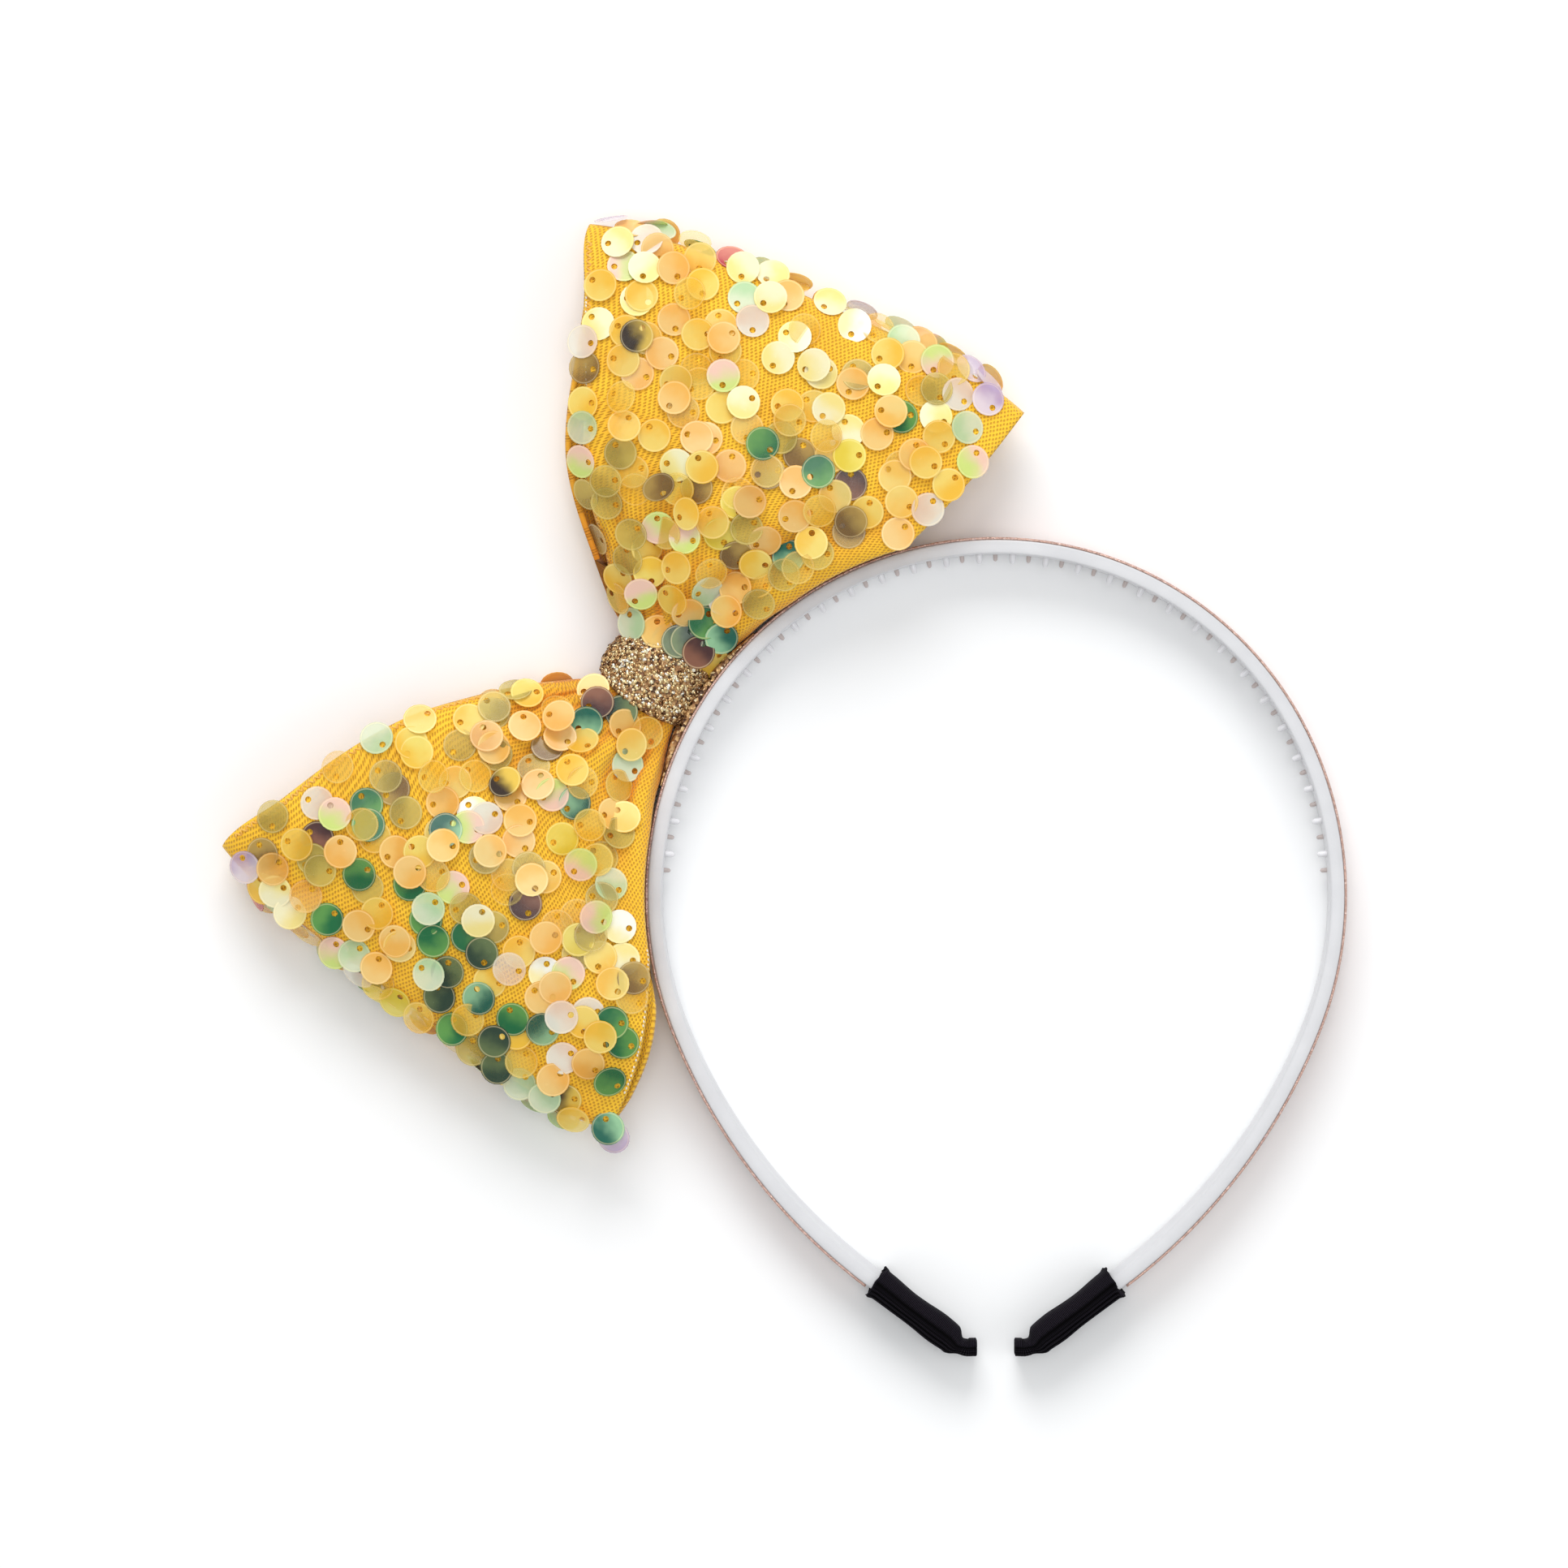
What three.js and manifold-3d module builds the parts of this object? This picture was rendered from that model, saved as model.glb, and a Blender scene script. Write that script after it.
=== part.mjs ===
// A hair band with a large sequin bow, lying on its side as it is put down on a table.
// Millimetres: X and Y run across the flat ring, with the crown towards +Y, and Z goes up from the table.

import * as THREE from 'three';
import { mergeVertices } from 'three/addons/utils/BufferGeometryUtils.js';
import Module from 'manifold-3d';

const wasm = await Module();
wasm.setup();

const degrees = Math.PI / 180;
const weldDistance = 1e-4;

// Outer outline of the ring: arcs that meet smoothly, from the crown down to the mouth of each tip sleeve
const crownRadius = 62;
const crownSweep = 62.3 * degrees;
const sideRadius = 65.7;
const sideSweep = 48.8 * degrees;
const tailRadius = 105.4;
const tailSweep = 32.6 * degrees;

// Moulded plastic band: flat outside, with a rounded swell inside that grows towards the tails
const bandWidth = 10;
const bandEdge = 2.3;
const bandRound = 0.35;
const bandSwell = 1;
const swellFace = 0.3;
const tailLength = 15.6;
const bandSteps = 92;

// Two staggered rows of comb teeth inside the crown
const toothPitch = 6.3;
const toothRadius = 0.6;
const toothLength = 1.7;
const toothRoot = 0.6;
const toothReach = 97;
const toothRows = [0.28, 0.72];
const toothSides = 6;
const toothProfile = [
  { wide: 1, long: -toothRoot / toothLength },
  { wide: 0.9, long: 0.62 },
  { wide: 0.55, long: 0.92 },
];

// Glitter strip glued round the outside of the band
const coverThickness = 0.5;
const coverGap = 0.2;
const coverInset = 0.2;
const coverEndGap = 0.3;
const coverSteps = 72;

// Ribbed cloth sleeve on each tail, sewn flat into a small tab at its end
const sleeveWall = 0.7;
const sleeveSeam = 3;
const sleeveClear = 0.3;
const sleeveFlare = 0.35;
const flareLength = 2.5;
const flareStop = 1;
const bodyStop = 7;
const ribDepth = 0.3;
const ribLead = 2;
const ribReach = 0.8;
const ribEdges = 6;
const sideReach = 0.62;
const tabTurn = 36.3 * degrees;
const tabBend = 1.6;
const tabLength = 1.35;
const tabThickness = 3.1;
const tabWidth = 7.4;

// Bow of sequin cloth: two hollow loops gathered into a neck, standing on the outside of the band
const bowAngle = 58.6 * degrees;
const bowLean = 1.4 * degrees;
const bowDepth = 19.5;
const bowLift = 0.6;
const clothWall = 1.2;
const farReach = 64.3;
const farHeight = 60.6;
const nearReach = 73.8;
const nearDrop = 24.3;
const nearBulge = 2.3;
const endBulge = 6.6;
const bulgePower = 4;
const hugLength = 47;
const hugShare = 0.6;
const edgeClear = 0.5;
const neckHeight = 15.5;
const neckDepth = 8.8;
const neckHold = 0.06;
const neckFade = 0.14;
const neckEdge = 0.18;
const openEdge = 0.72;
const openEnd = 0.4;
const foldSquareness = 4.5;
const hollowStart = 0.18;
const farTuck = 2.9;
const farTuckFrom = 0.6;
const nearTuck = 2;
const nearTuckTo = 0.3;
const nearTuckStart = 0.5;
const nearTuckLead = 0.2;
const pleatDepth = 4.2;
const pleatStart = 0.095;
const pleatLead = 0.18;
const gatherDepth = 0.55;
const gatherCount = 7;
const gatherLead = 0.1;
const gatherReach = 0.5;
const backGather = 0.5;
const swellRows = 15;
const clothColumns = 14;
const columnEase = 0.35;

// Glitter strip wound round the neck as the bow's knot
const knotAlong = 0.085;
const knotMargin = 0.01;
const knotThickness = 1.3;
const knotEdgeShare = 0.5;
const knotClear = 0.3;
const knotSeat = 0.3;
const knotColumns = 6;
const knotFarShare = 0.6;
const knotNearShare = 0.74;
const knotRound = 0.8;

// Band shape by distance from the crown, with 1 at the sleeve's mouth: swell of bandSwell, width of bandWidth
const bandShapes = [
  { along: 0.0, swell: 0.0, width: 1.0 },
  { along: 0.34, swell: 0.0, width: 1.0 },
  { along: 0.54, swell: 0.15, width: 0.97 },
  { along: 0.66, swell: 0.3, width: 0.93 },
  { along: 0.77, swell: 0.55, width: 0.89 },
  { along: 0.88, swell: 0.85, width: 0.83 },
  { along: 0.98, swell: 1.0, width: 0.78 },
  { along: 1.01, swell: 0.8, width: 0.75 },
  { along: 1.04, swell: 0.4, width: 0.74 },
  { along: 1.3, swell: 0.4, width: 0.74 },
];

// Far edge of each loop: rise from the neck to the far corner, by the share of farReach
const upperFarEdge = [
  { along: 0.0, rise: 0.0 },
  { along: 0.06, rise: 0.0 },
  { along: 0.12, rise: 0.12 },
  { along: 0.21, rise: 0.31 },
  { along: 0.31, rise: 0.465 },
  { along: 0.4, rise: 0.565 },
  { along: 0.5, rise: 0.635 },
  { along: 0.65, rise: 0.71 },
  { along: 0.82, rise: 0.825 },
  { along: 1.0, rise: 1.0 },
];
const lowerFarEdge = [
  { along: 0.0, rise: 0.0 },
  { along: 0.06, rise: 0.0 },
  { along: 0.12, rise: 0.11 },
  { along: 0.19, rise: 0.25 },
  { along: 0.31, rise: 0.44 },
  { along: 0.43, rise: 0.6 },
  { along: 0.6, rise: 0.75 },
  { along: 0.8, rise: 0.88 },
  { along: 1.0, rise: 1.0 },
];

// Height of a loop's front and back walls between the neck and its full depth, by the share of its length
const loopSwell = [
  { along: 0.0, front: 0.0, back: 0.0 },
  { along: 0.095, front: 0.0, back: 0.0 },
  { along: 0.24, front: 0.48, back: 0.6 },
  { along: 0.42, front: 0.84, back: 1.0 },
  { along: 0.62, front: 1.0, back: 1.0 },
  { along: 0.85, front: 0.9, back: 1.0 },
  { along: 1.0, front: 0.72, back: 1.0 },
];

// Folds that run out from the knot: place across the cloth, drift by the loop's end, width, depth and reach as shares
const upperPleats = [
  { at: 0.62, drift: -0.02, width: 0.06, depth: 1.0, reach: 0.62 },
  { at: 0.36, drift: -0.4, width: 0.07, depth: 0.95, reach: 0.85 },
  { at: 0.48, drift: -0.05, width: 0.07, depth: -0.45, reach: 0.7 },
  { at: 0.82, drift: 0.02, width: 0.06, depth: 0.4, reach: 0.5 },
];
const lowerPleats = [
  { at: 0.33, drift: -0.5, width: 0.07, depth: 1.0, reach: 0.6 },
  { at: 0.5, drift: 0.35, width: 0.06, depth: 0.85, reach: 0.6 },
  { at: 0.33, drift: 0.3, width: 0.07, depth: -0.5, reach: 0.95 },
  { at: 0.8, drift: 0.05, width: 0.06, depth: 0.45, reach: 0.5 },
];
const backPleats = [
  { at: 0.3, drift: -0.1, width: 0.08, depth: 0.5, reach: 0.5 },
  { at: 0.6, drift: 0.1, width: 0.08, depth: 0.5, reach: 0.5 },
];

const loops = {
  upper: { side: 1, farEdge: upperFarEdge, farTuck, nearTuck: 0, pleats: upperPleats },
  lower: { side: -1, farEdge: lowerFarEdge, farTuck: 0, nearTuck, pleats: lowerPleats },
};

// Lengths that follow from the ones above
const outlineArcs = [
  { radius: crownRadius, sweep: crownSweep },
  { radius: sideRadius, sweep: sideSweep },
  { radius: tailRadius, sweep: tailSweep },
];
const mouthAt = outlineArcs.reduce((sum, arc) => sum + arc.radius * arc.sweep, 0);
const bandOuter = -(coverThickness + coverGap);
const pocketLength = tailLength + sleeveClear;
const sleeveBody = pocketLength + sleeveSeam;
const bowAt = crownRadius * bowAngle;
const neckLow = knotSeat + knotThickness + knotClear;
const neckTop = neckLow + neckHeight;
const neckMiddle = bowLift + knotThickness + knotClear + neckDepth / 2;

function smooth(value) {
  const share = Math.min(Math.max(value, 0), 1);
  return share * share * (3 - 2 * share);
}

// Reads one column of a table by its along column, on a smooth curve through the rows
function readTable(rows, along, column) {
  const last = rows.length - 1;
  let next = rows.findIndex((row) => row.along > along);
  if (next < 0) next = last;
  const index = Math.max(next, 1);
  const slopeAt = (i) => {
    const before = rows[Math.max(i - 1, 0)];
    const after = rows[Math.min(i + 1, last)];
    const turns = (rows[i][column] - before[column]) * (after[column] - rows[i][column]) <= 0;
    return turns ? 0 : (after[column] - before[column]) / (after.along - before.along);
  };
  const a = rows[index - 1];
  const b = rows[index];
  const gap = b.along - a.along;
  const t = Math.min(Math.max((along - a.along) / gap, 0), 1);
  const keep = (1 + 2 * t) * (1 - t) * (1 - t);
  const leave = t * (1 - t) * (1 - t) * gap * slopeAt(index - 1);
  const arrive = t * t * (t - 1) * gap * slopeAt(index);
  return keep * a[column] + (1 - keep) * b[column] + leave + arrive;
}

// The ring's outer outline at a distance from the crown, positive towards the bow's side
function outlineAt(distance) {
  const hand = distance < 0 ? -1 : 1;
  let left = Math.abs(distance);
  let heading = 0;
  let x = 0;
  let y = crownRadius;
  for (const arc of outlineArcs) {
    const turn = Math.min(left / arc.radius, arc.sweep);
    x -= arc.radius * (Math.sin(heading + turn) - Math.sin(heading));
    y += arc.radius * (Math.cos(heading + turn) - Math.cos(heading));
    heading += turn;
    left -= arc.radius * turn;
  }
  x -= left * Math.cos(heading);
  y -= left * Math.sin(heading);
  return { x: hand * x, y, outX: -hand * Math.sin(heading), outY: Math.cos(heading), hand, heading };
}

// A section's points are an out distance from the outline and a height above the table
function placeSection(spot, points) {
  return points.map(({ out, up }) => new THREE.Vector3(spot.x + spot.outX * out, spot.y + spot.outY * out, up));
}

function bandShapeAt(distance) {
  const along = Math.abs(distance) / mouthAt;
  const swell = bandSwell * readTable(bandShapes, along, 'swell');
  const width = bandWidth * readTable(bandShapes, along, 'width');
  return { inner: bandOuter - bandEdge - swell, swell, low: (bandWidth - width) / 2, high: (bandWidth + width) / 2 };
}

function bandSection(distance) {
  const { inner, low, high } = bandShapeAt(distance);
  const edge = bandOuter - bandEdge;
  const face = swellFace * (high - low);
  return placeSection(outlineAt(distance), [
    { out: bandOuter, up: low + bandRound },
    { out: bandOuter, up: high - bandRound },
    { out: bandOuter - bandRound, up: high },
    { out: edge + bandRound, up: high },
    { out: edge, up: high - bandRound },
    { out: inner, up: high - face },
    { out: inner, up: low + face },
    { out: edge, up: low + bandRound },
    { out: edge + bandRound, up: low },
    { out: bandOuter - bandRound, up: low },
  ]);
}

function coverSection(distance) {
  const { low, high } = bandShapeAt(distance);
  return placeSection(outlineAt(distance), [
    { out: -coverThickness, up: low + coverInset },
    { out: 0, up: low + coverInset },
    { out: 0, up: high - coverInset },
    { out: -coverThickness, up: high - coverInset },
  ]);
}

function spread(from, to, steps) {
  return Array.from({ length: steps + 1 }, (_, i) => from + ((to - from) * i) / steps);
}

function signedVolume(points, faces) {
  const cross = new THREE.Vector3();
  return faces.reduce((sum, [a, b, c]) => sum + cross.crossVectors(points[b], points[c]).dot(points[a]), 0) / 6;
}

function closedGeometry(points, faces) {
  const flip = signedVolume(points, faces) < 0;
  const index = faces.flatMap(([a, b, c]) => (flip ? [a, c, b] : [a, b, c]));
  const geometry = new THREE.BufferGeometry().setFromPoints(points);
  geometry.setIndex(index);
  const merged = mergeVertices(geometry, weldDistance);
  merged.computeVertexNormals();
  return merged;
}

// A closed solid through a row of sections with equal point counts, capped at both ends or joined into a hoop
function loftSections(sections, hoop) {
  const size = sections[0].length;
  const points = sections.flat();
  const faces = [];
  const spans = hoop ? sections.length : sections.length - 1;
  for (let i = 0; i < spans; i += 1) {
    const here = i * size;
    const there = ((i + 1) % sections.length) * size;
    for (let j = 0; j < size; j += 1) {
      const next = (j + 1) % size;
      faces.push([here + j, here + next, there + next], [here + j, there + next, there + j]);
    }
  }
  if (!hoop) {
    for (const [first, order] of [[0, -1], [(sections.length - 1) * size, 1]]) {
      const middle = points.push(averagePoint(points.slice(first, first + size))) - 1;
      for (let j = 0; j < size; j += 1) {
        const pair = order > 0 ? [first + j, first + ((j + 1) % size)] : [first + ((j + 1) % size), first + j];
        faces.push([middle, ...pair]);
      }
    }
  }
  return closedGeometry(points, faces);
}

function averagePoint(points) {
  return points.reduce((sum, point) => sum.add(point), new THREE.Vector3()).divideScalar(points.length);
}

function toManifold(geometry) {
  const bare = geometry.clone();
  bare.deleteAttribute('normal');
  bare.deleteAttribute('uv');
  const merged = mergeVertices(bare, weldDistance);
  const vertProperties = Float32Array.from(merged.attributes.position.array);
  const triVerts = Uint32Array.from(merged.index.array);
  return new wasm.Manifold(new wasm.Mesh({ numProp: 3, vertProperties, triVerts }));
}

function fromManifold(solid) {
  const { vertProperties, triVerts } = solid.getMesh();
  const geometry = new THREE.BufferGeometry();
  geometry.setAttribute('position', new THREE.BufferAttribute(vertProperties, 3));
  geometry.setIndex(new THREE.BufferAttribute(triVerts, 1));
  geometry.computeVertexNormals();
  return geometry;
}

// One comb tooth: a peg with a rounded tip that points at the middle of the ring
function toothAt(distance, share) {
  const spot = outlineAt(distance);
  const { inner, low, high } = bandShapeAt(distance);
  const profile = [
    new THREE.Vector2(0, -toothRoot),
    ...toothProfile.map(({ wide, long }) => new THREE.Vector2(toothRadius * wide, toothLength * long)),
    new THREE.Vector2(0, toothLength),
  ];
  const tooth = new THREE.LatheGeometry(profile, toothSides);
  tooth.rotateZ(Math.atan2(-spot.outY, -spot.outX) - Math.PI / 2);
  tooth.translate(spot.x + spot.outX * inner, spot.y + spot.outY * inner, low + (high - low) * share);
  return toManifold(tooth);
}

function toothPlaces(row) {
  const count = Math.floor(toothReach / toothPitch);
  const offset = (row * toothPitch) / 2;
  const places = spread(-count * toothPitch, count * toothPitch, 2 * count).map((place) => place + offset);
  return places.filter((place) => Math.abs(place) <= toothReach);
}

function bandGeometry() {
  const end = mouthAt + tailLength;
  const hoop = toManifold(loftSections(spread(-end, end, bandSteps).map(bandSection), false));
  const teeth = toothRows.flatMap((share, row) => toothPlaces(row).map((place) => toothAt(place, share)));
  return fromManifold(wasm.Manifold.union([hoop, ...teeth]));
}

function coverGeometry() {
  const end = mouthAt - coverEndGap;
  return loftSections(spread(-end, end, coverSteps).map(coverSection), false);
}

// Sleeve outline as shares of its half thickness and half width, with three ribs along each wide edge
function sleeveOutline(half, ribs) {
  const ribPlaces = spread(ribReach, -ribReach, ribEdges);
  const ribHeight = (k) => (k % 2 === 0 ? 1 - ribs / half.up : 1);
  const top = ribPlaces.map((place, k) => ({ out: place * half.out, up: half.up * ribHeight(k) }));
  const sides = spread(sideReach, -sideReach, 2).map((place) => place * half.up);
  const inside = sides.map((up) => ({ out: -half.out, up }));
  const bottom = top.map(({ out, up }) => ({ out: -out, up: -up }));
  const outside = inside.map(({ out, up }) => ({ out: -out, up: -up }));
  return [...top, ...inside, ...bottom, ...outside];
}

// The sleeve's own line: straight over the tail, then turned in towards the other tip
function sleeveSpot(hand, length) {
  const run = Math.min(length, sleeveBody);
  const base = outlineAt(hand * (mouthAt + run));
  const { inner } = bandShapeAt(mouthAt + run);
  const middle = (bandOuter + inner) / 2;
  const turn = Math.min((length - run) / tabBend, tabTurn);
  const past = length - run - turn * tabBend;
  const heading = base.heading + turn;
  const across = tabBend * (Math.sin(heading) - Math.sin(base.heading)) + past * Math.cos(heading);
  const down = tabBend * (Math.cos(base.heading) - Math.cos(heading)) + past * Math.sin(heading);
  return {
    x: base.x + base.outX * middle - hand * across,
    y: base.y + base.outY * middle - down,
    outX: -hand * Math.sin(heading),
    outY: Math.cos(heading),
  };
}

function pocketHalf(length) {
  const { inner, low, high } = bandShapeAt(mouthAt + Math.min(length, pocketLength));
  const flare = sleeveFlare * (1 - smooth(length / flareLength));
  return { out: (bandOuter - inner) / 2 + sleeveClear + flare, up: (high - low) / 2 + sleeveClear + flare / 2 };
}

function sleeveHalf(length) {
  const pocket = pocketHalf(length);
  const toTab = smooth((length - pocketLength) / (sleeveBody - pocketLength + tabBend * tabTurn));
  return {
    out: THREE.MathUtils.lerp(pocket.out + sleeveWall, tabThickness / 2, toTab),
    up: THREE.MathUtils.lerp(pocket.up + sleeveWall, tabWidth / 2, toTab),
  };
}

function sleeveSection(hand, length, half, ribs) {
  const raised = sleeveOutline(half, ribs).map(({ out, up }) => ({ out, up: up + bandWidth / 2 }));
  return placeSection(sleeveSpot(hand, length), raised);
}

function sleeveGeometry(hand) {
  const end = sleeveBody + tabBend * tabTurn + tabLength;
  const pocketStops = [pocketLength, bodyStop, flareLength, flareStop, 0];
  const bodyStops = [0, flareStop, flareLength, ...spread(bodyStop, pocketLength, 2)];
  const tabStops = [...spread(sleeveBody, sleeveBody + tabBend * tabTurn, 3), end];
  const pocket = pocketStops.map((length) => sleeveSection(hand, length, pocketHalf(length), 0));
  const ribsAt = (length) => ribDepth * smooth(length / ribLead);
  const skin = [...bodyStops, ...tabStops].map((length) =>
    sleeveSection(hand, length, sleeveHalf(length), ribsAt(length)));
  return loftSections([...pocket, ...skin], false);
}

// Place and turn of the bow on the ring's outer face
function bowPose() {
  const spot = outlineAt(bowAt);
  return { x: spot.x, y: spot.y, turn: bowAngle + bowLean };
}

// The bow's own frame has X along its two loops, Y away from the band and Z up from the table
function toBowFrame(x, y) {
  const pose = bowPose();
  const point = new THREE.Vector2(x - pose.x, y - pose.y);
  return point.rotateAround(new THREE.Vector2(), -pose.turn);
}

// Near edge of a loop: along the outer face of the band, then free to the near corner
function nearEdgeAt(side, along) {
  const hug = Math.min(along / hugShare, 1);
  const lift = edgeClear + (neckLow - edgeClear) * (1 - smooth((along - neckHold) / neckFade));
  const spot = outlineAt(bowAt - side * hugLength * hug);
  const point = toBowFrame(spot.x + spot.outX * lift, spot.y + spot.outY * lift);
  const free = Math.max((along - hugShare) / (1 - hugShare), 0);
  const corner = new THREE.Vector2(side * nearReach, -nearDrop);
  return point.lerp(corner, free).sub(new THREE.Vector2(0, nearBulge * Math.sin(Math.PI * free)));
}

function farEdgeAt(loop, along) {
  const rise = readTable(loop.farEdge, along, 'rise');
  return new THREE.Vector2(loop.side * farReach * along, neckTop + (farHeight - neckTop) * rise);
}

function pleatsAt(rows, along, across) {
  const start = smooth((along - pleatStart) / pleatLead);
  return rows.reduce((sum, row) => {
    const offset = (across - row.at - row.drift * along) / row.width;
    return sum + row.depth * Math.exp(-offset * offset) * start * (1 - smooth(along / row.reach));
  }, 0);
}

// A point on the outside of a loop: along runs from the neck to the fold, across from the band to the far edge
function clothPoint(loop, front, along, across) {
  const { side } = loop;
  const point = nearEdgeAt(side, along).lerp(farEdgeAt(loop, along), across);
  point.x += side * endBulge * (1 - Math.abs(2 * across - 1) ** bulgePower) * along ** bulgePower;
  const tuck = front ? Math.sin(Math.PI * along) : 0;
  const nearTuckShare = smooth((nearTuckTo - across) / nearTuckTo) * smooth((along - nearTuckStart) / nearTuckLead);
  point.y -= tuck * loop.farTuck * smooth((across - farTuckFrom) / (1 - farTuckFrom));
  point.y += tuck * loop.nearTuck * nearTuckShare;
  const top = neckMiddle + neckDepth / 2;
  const bottom = neckMiddle - neckDepth / 2;
  const high = THREE.MathUtils.lerp(top, bowLift + bowDepth, readTable(loopSwell, along, 'front'));
  const low = THREE.MathUtils.lerp(bottom, bowLift, readTable(loopSwell, along, 'back'));
  const edge = THREE.MathUtils.lerp(neckEdge, openEdge, smooth((along - neckHold) / openEnd));
  const crown = edge + (1 - edge) * Math.sqrt(1 - (2 * across - 1) ** 2);
  const close = (1 - along ** foldSquareness) ** (1 / foldSquareness);
  const half = ((high - low) / 2) * crown * close;
  const gathers = Math.cos(2 * Math.PI * gatherCount * across) * smooth((along - pleatStart) / gatherLead);
  const ripple = gatherDepth * gathers * (1 - smooth(along / gatherReach));
  const pleats = pleatDepth * pleatsAt(front ? loop.pleats : backPleats, along, across);
  const height = (high + low) / 2 + (front ? half - pleats - ripple : pleats + ripple * backGather - half);
  return new THREE.Vector3(point.x, point.y, Math.max(height, bowLift));
}

function columnPlace(j, columns) {
  const even = j / columns;
  const eased = (1 - Math.cos(Math.PI * even)) / 2;
  return even + (eased - even) * columnEase;
}

// Places of the cloth's rows: straight under the knot, then closer together towards the rounded fold
function rowPlaces() {
  const clear = knotAlong + knotMargin;
  const eased = spread(0, 1, swellRows).map((share) => clear + (1 - clear) * Math.sin((Math.PI / 2) * share));
  return [0, neckHold, ...eased];
}

// Rows run from the neck along the front wall to the fold and back to the neck along the back wall
function clothGrid(loop) {
  const places = rowPlaces();
  const columns = Array.from({ length: clothColumns + 1 }, (_, j) => columnPlace(j, clothColumns));
  const wall = (front, along) => ({ along, points: columns.map((across) => clothPoint(loop, front, along, across)) });
  const frontRows = places.map((along) => wall(true, along));
  const backRows = places.slice(0, -1).toReversed().map((along) => wall(false, along));
  return [...frontRows, ...backRows];
}

// The inside of the cloth: each point moved in by the wall along the surface's own normal
function insideGrid(rows, side) {
  const at = (i, j) => rows[i].points[j];
  return rows.map((row, i) => row.points.map((point, j) => {
    const before = Math.max(i - 1, 0);
    const after = Math.min(i + 1, rows.length - 1);
    const left = Math.max(j - 1, 0);
    const right = Math.min(j + 1, clothColumns);
    const lengthwise = at(after, j).clone().sub(at(before, j));
    const crosswise = at(i, right).clone().sub(at(i, left));
    const normal = lengthwise.cross(crosswise).normalize().multiplyScalar(side);
    return point.clone().addScaledVector(normal, -clothWall);
  }));
}

function addLoop(mesh, loop) {
  const rows = clothGrid(loop);
  const inside = insideGrid(rows, loop.side);
  const end = rows.length - 1;
  const start = rows.findIndex((row) => row.along >= hollowStart);
  const firstOuter = mesh.points.length;
  mesh.points.push(...rows.flatMap((row) => row.points));
  const firstInner = mesh.points.length;
  mesh.points.push(...inside.flat());
  const outer = (i, j) => firstOuter + i * (clothColumns + 1) + j;
  const inner = (i, j) => firstInner + i * (clothColumns + 1) + j;
  const quad = (a, b, c, d) => {
    const faces = loop.side > 0 ? [[a, b, c], [a, c, d]] : [[a, c, b], [a, d, c]];
    mesh.faces.push(...faces);
  };
  for (let i = 0; i < end; i += 1) {
    for (let j = 0; j < clothColumns; j += 1) {
      quad(outer(i, j), outer(i + 1, j), outer(i + 1, j + 1), outer(i, j + 1));
    }
  }
  const last = clothColumns;
  for (let i = 0; i < start; i += 1) {
    quad(outer(i + 1, 0), outer(i, 0), outer(end - i, 0), outer(end - i - 1, 0));
    quad(outer(i, last), outer(i + 1, last), outer(end - i - 1, last), outer(end - i, last));
  }
  for (let i = start; i < end - start; i += 1) {
    for (let j = 0; j < clothColumns; j += 1) {
      quad(inner(i, j), inner(i, j + 1), inner(i + 1, j + 1), inner(i + 1, j));
    }
    quad(outer(i + 1, 0), outer(i, 0), inner(i, 0), inner(i + 1, 0));
    quad(outer(i, last), outer(i + 1, last), inner(i + 1, last), inner(i, last));
  }
  const back = end - start;
  for (let j = 0; j < clothColumns; j += 1) {
    quad(inner(start, j + 1), inner(start, j), inner(back, j), inner(back, j + 1));
  }
  quad(inner(start, 0), outer(start, 0), outer(back, 0), inner(back, 0));
  quad(outer(start, last), inner(start, last), inner(back, last), outer(back, last));
}

function dropUnusedPoints({ points, faces }) {
  const used = [...new Set(faces.flat())];
  const place = new Map(used.map((old, index) => [old, index]));
  return { points: used.map((old) => points[old]), faces: faces.map((face) => face.map((old) => place.get(old))) };
}

function bowGeometry() {
  const mesh = { points: [], faces: [] };
  addLoop(mesh, loops.upper);
  addLoop(mesh, loops.lower);
  const tidy = dropUnusedPoints(mesh);
  return closedGeometry(tidy.points, tidy.faces);
}

// Width of the knot's strip at a place across the neck, as a share of its widest place in the middle
function knotShare(across) {
  const narrow = across > 0.5 ? knotFarShare : knotNearShare;
  return narrow + (1 - narrow) * Math.sin(Math.PI * across) ** knotRound;
}

// A point over the neck: place runs from -1 to 1 across the strip, offset is its distance from the cloth
function knotPoint(front, across, place, offset) {
  const loop = place < 0 ? loops.lower : loops.upper;
  const point = clothPoint(loop, front, Math.abs(place) * knotAlong * knotShare(across), across);
  const axis = new THREE.Vector3(point.x, neckLow + neckHeight / 2, neckMiddle);
  const away = point.clone().sub(axis);
  return axis.addScaledVector(away, 1 + offset / away.length());
}

function knotGeometry() {
  const columns = Array.from({ length: clothColumns + 1 }, (_, j) => columnPlace(j, clothColumns));
  const stations = [
    ...columns.map((across) => ({ front: true, across })),
    ...columns.toReversed().map((across) => ({ front: false, across })),
  ];
  const places = spread(-1, 1, knotColumns);
  const depthAt = (place) => {
    const crown = Math.sqrt(1 - place * place);
    return knotThickness * (knotEdgeShare + (1 - knotEdgeShare) * crown);
  };
  const sections = stations.map(({ front, across }) => [
    ...places.map((place) => knotPoint(front, across, place, knotClear)),
    ...places.toReversed().map((place) => knotPoint(front, across, place, knotClear + depthAt(place))),
  ]);
  return loftSections(sections, true);
}

function material(color, roughness, metalness = 0) {
  return new THREE.MeshStandardMaterial({ color, roughness, metalness });
}

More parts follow.
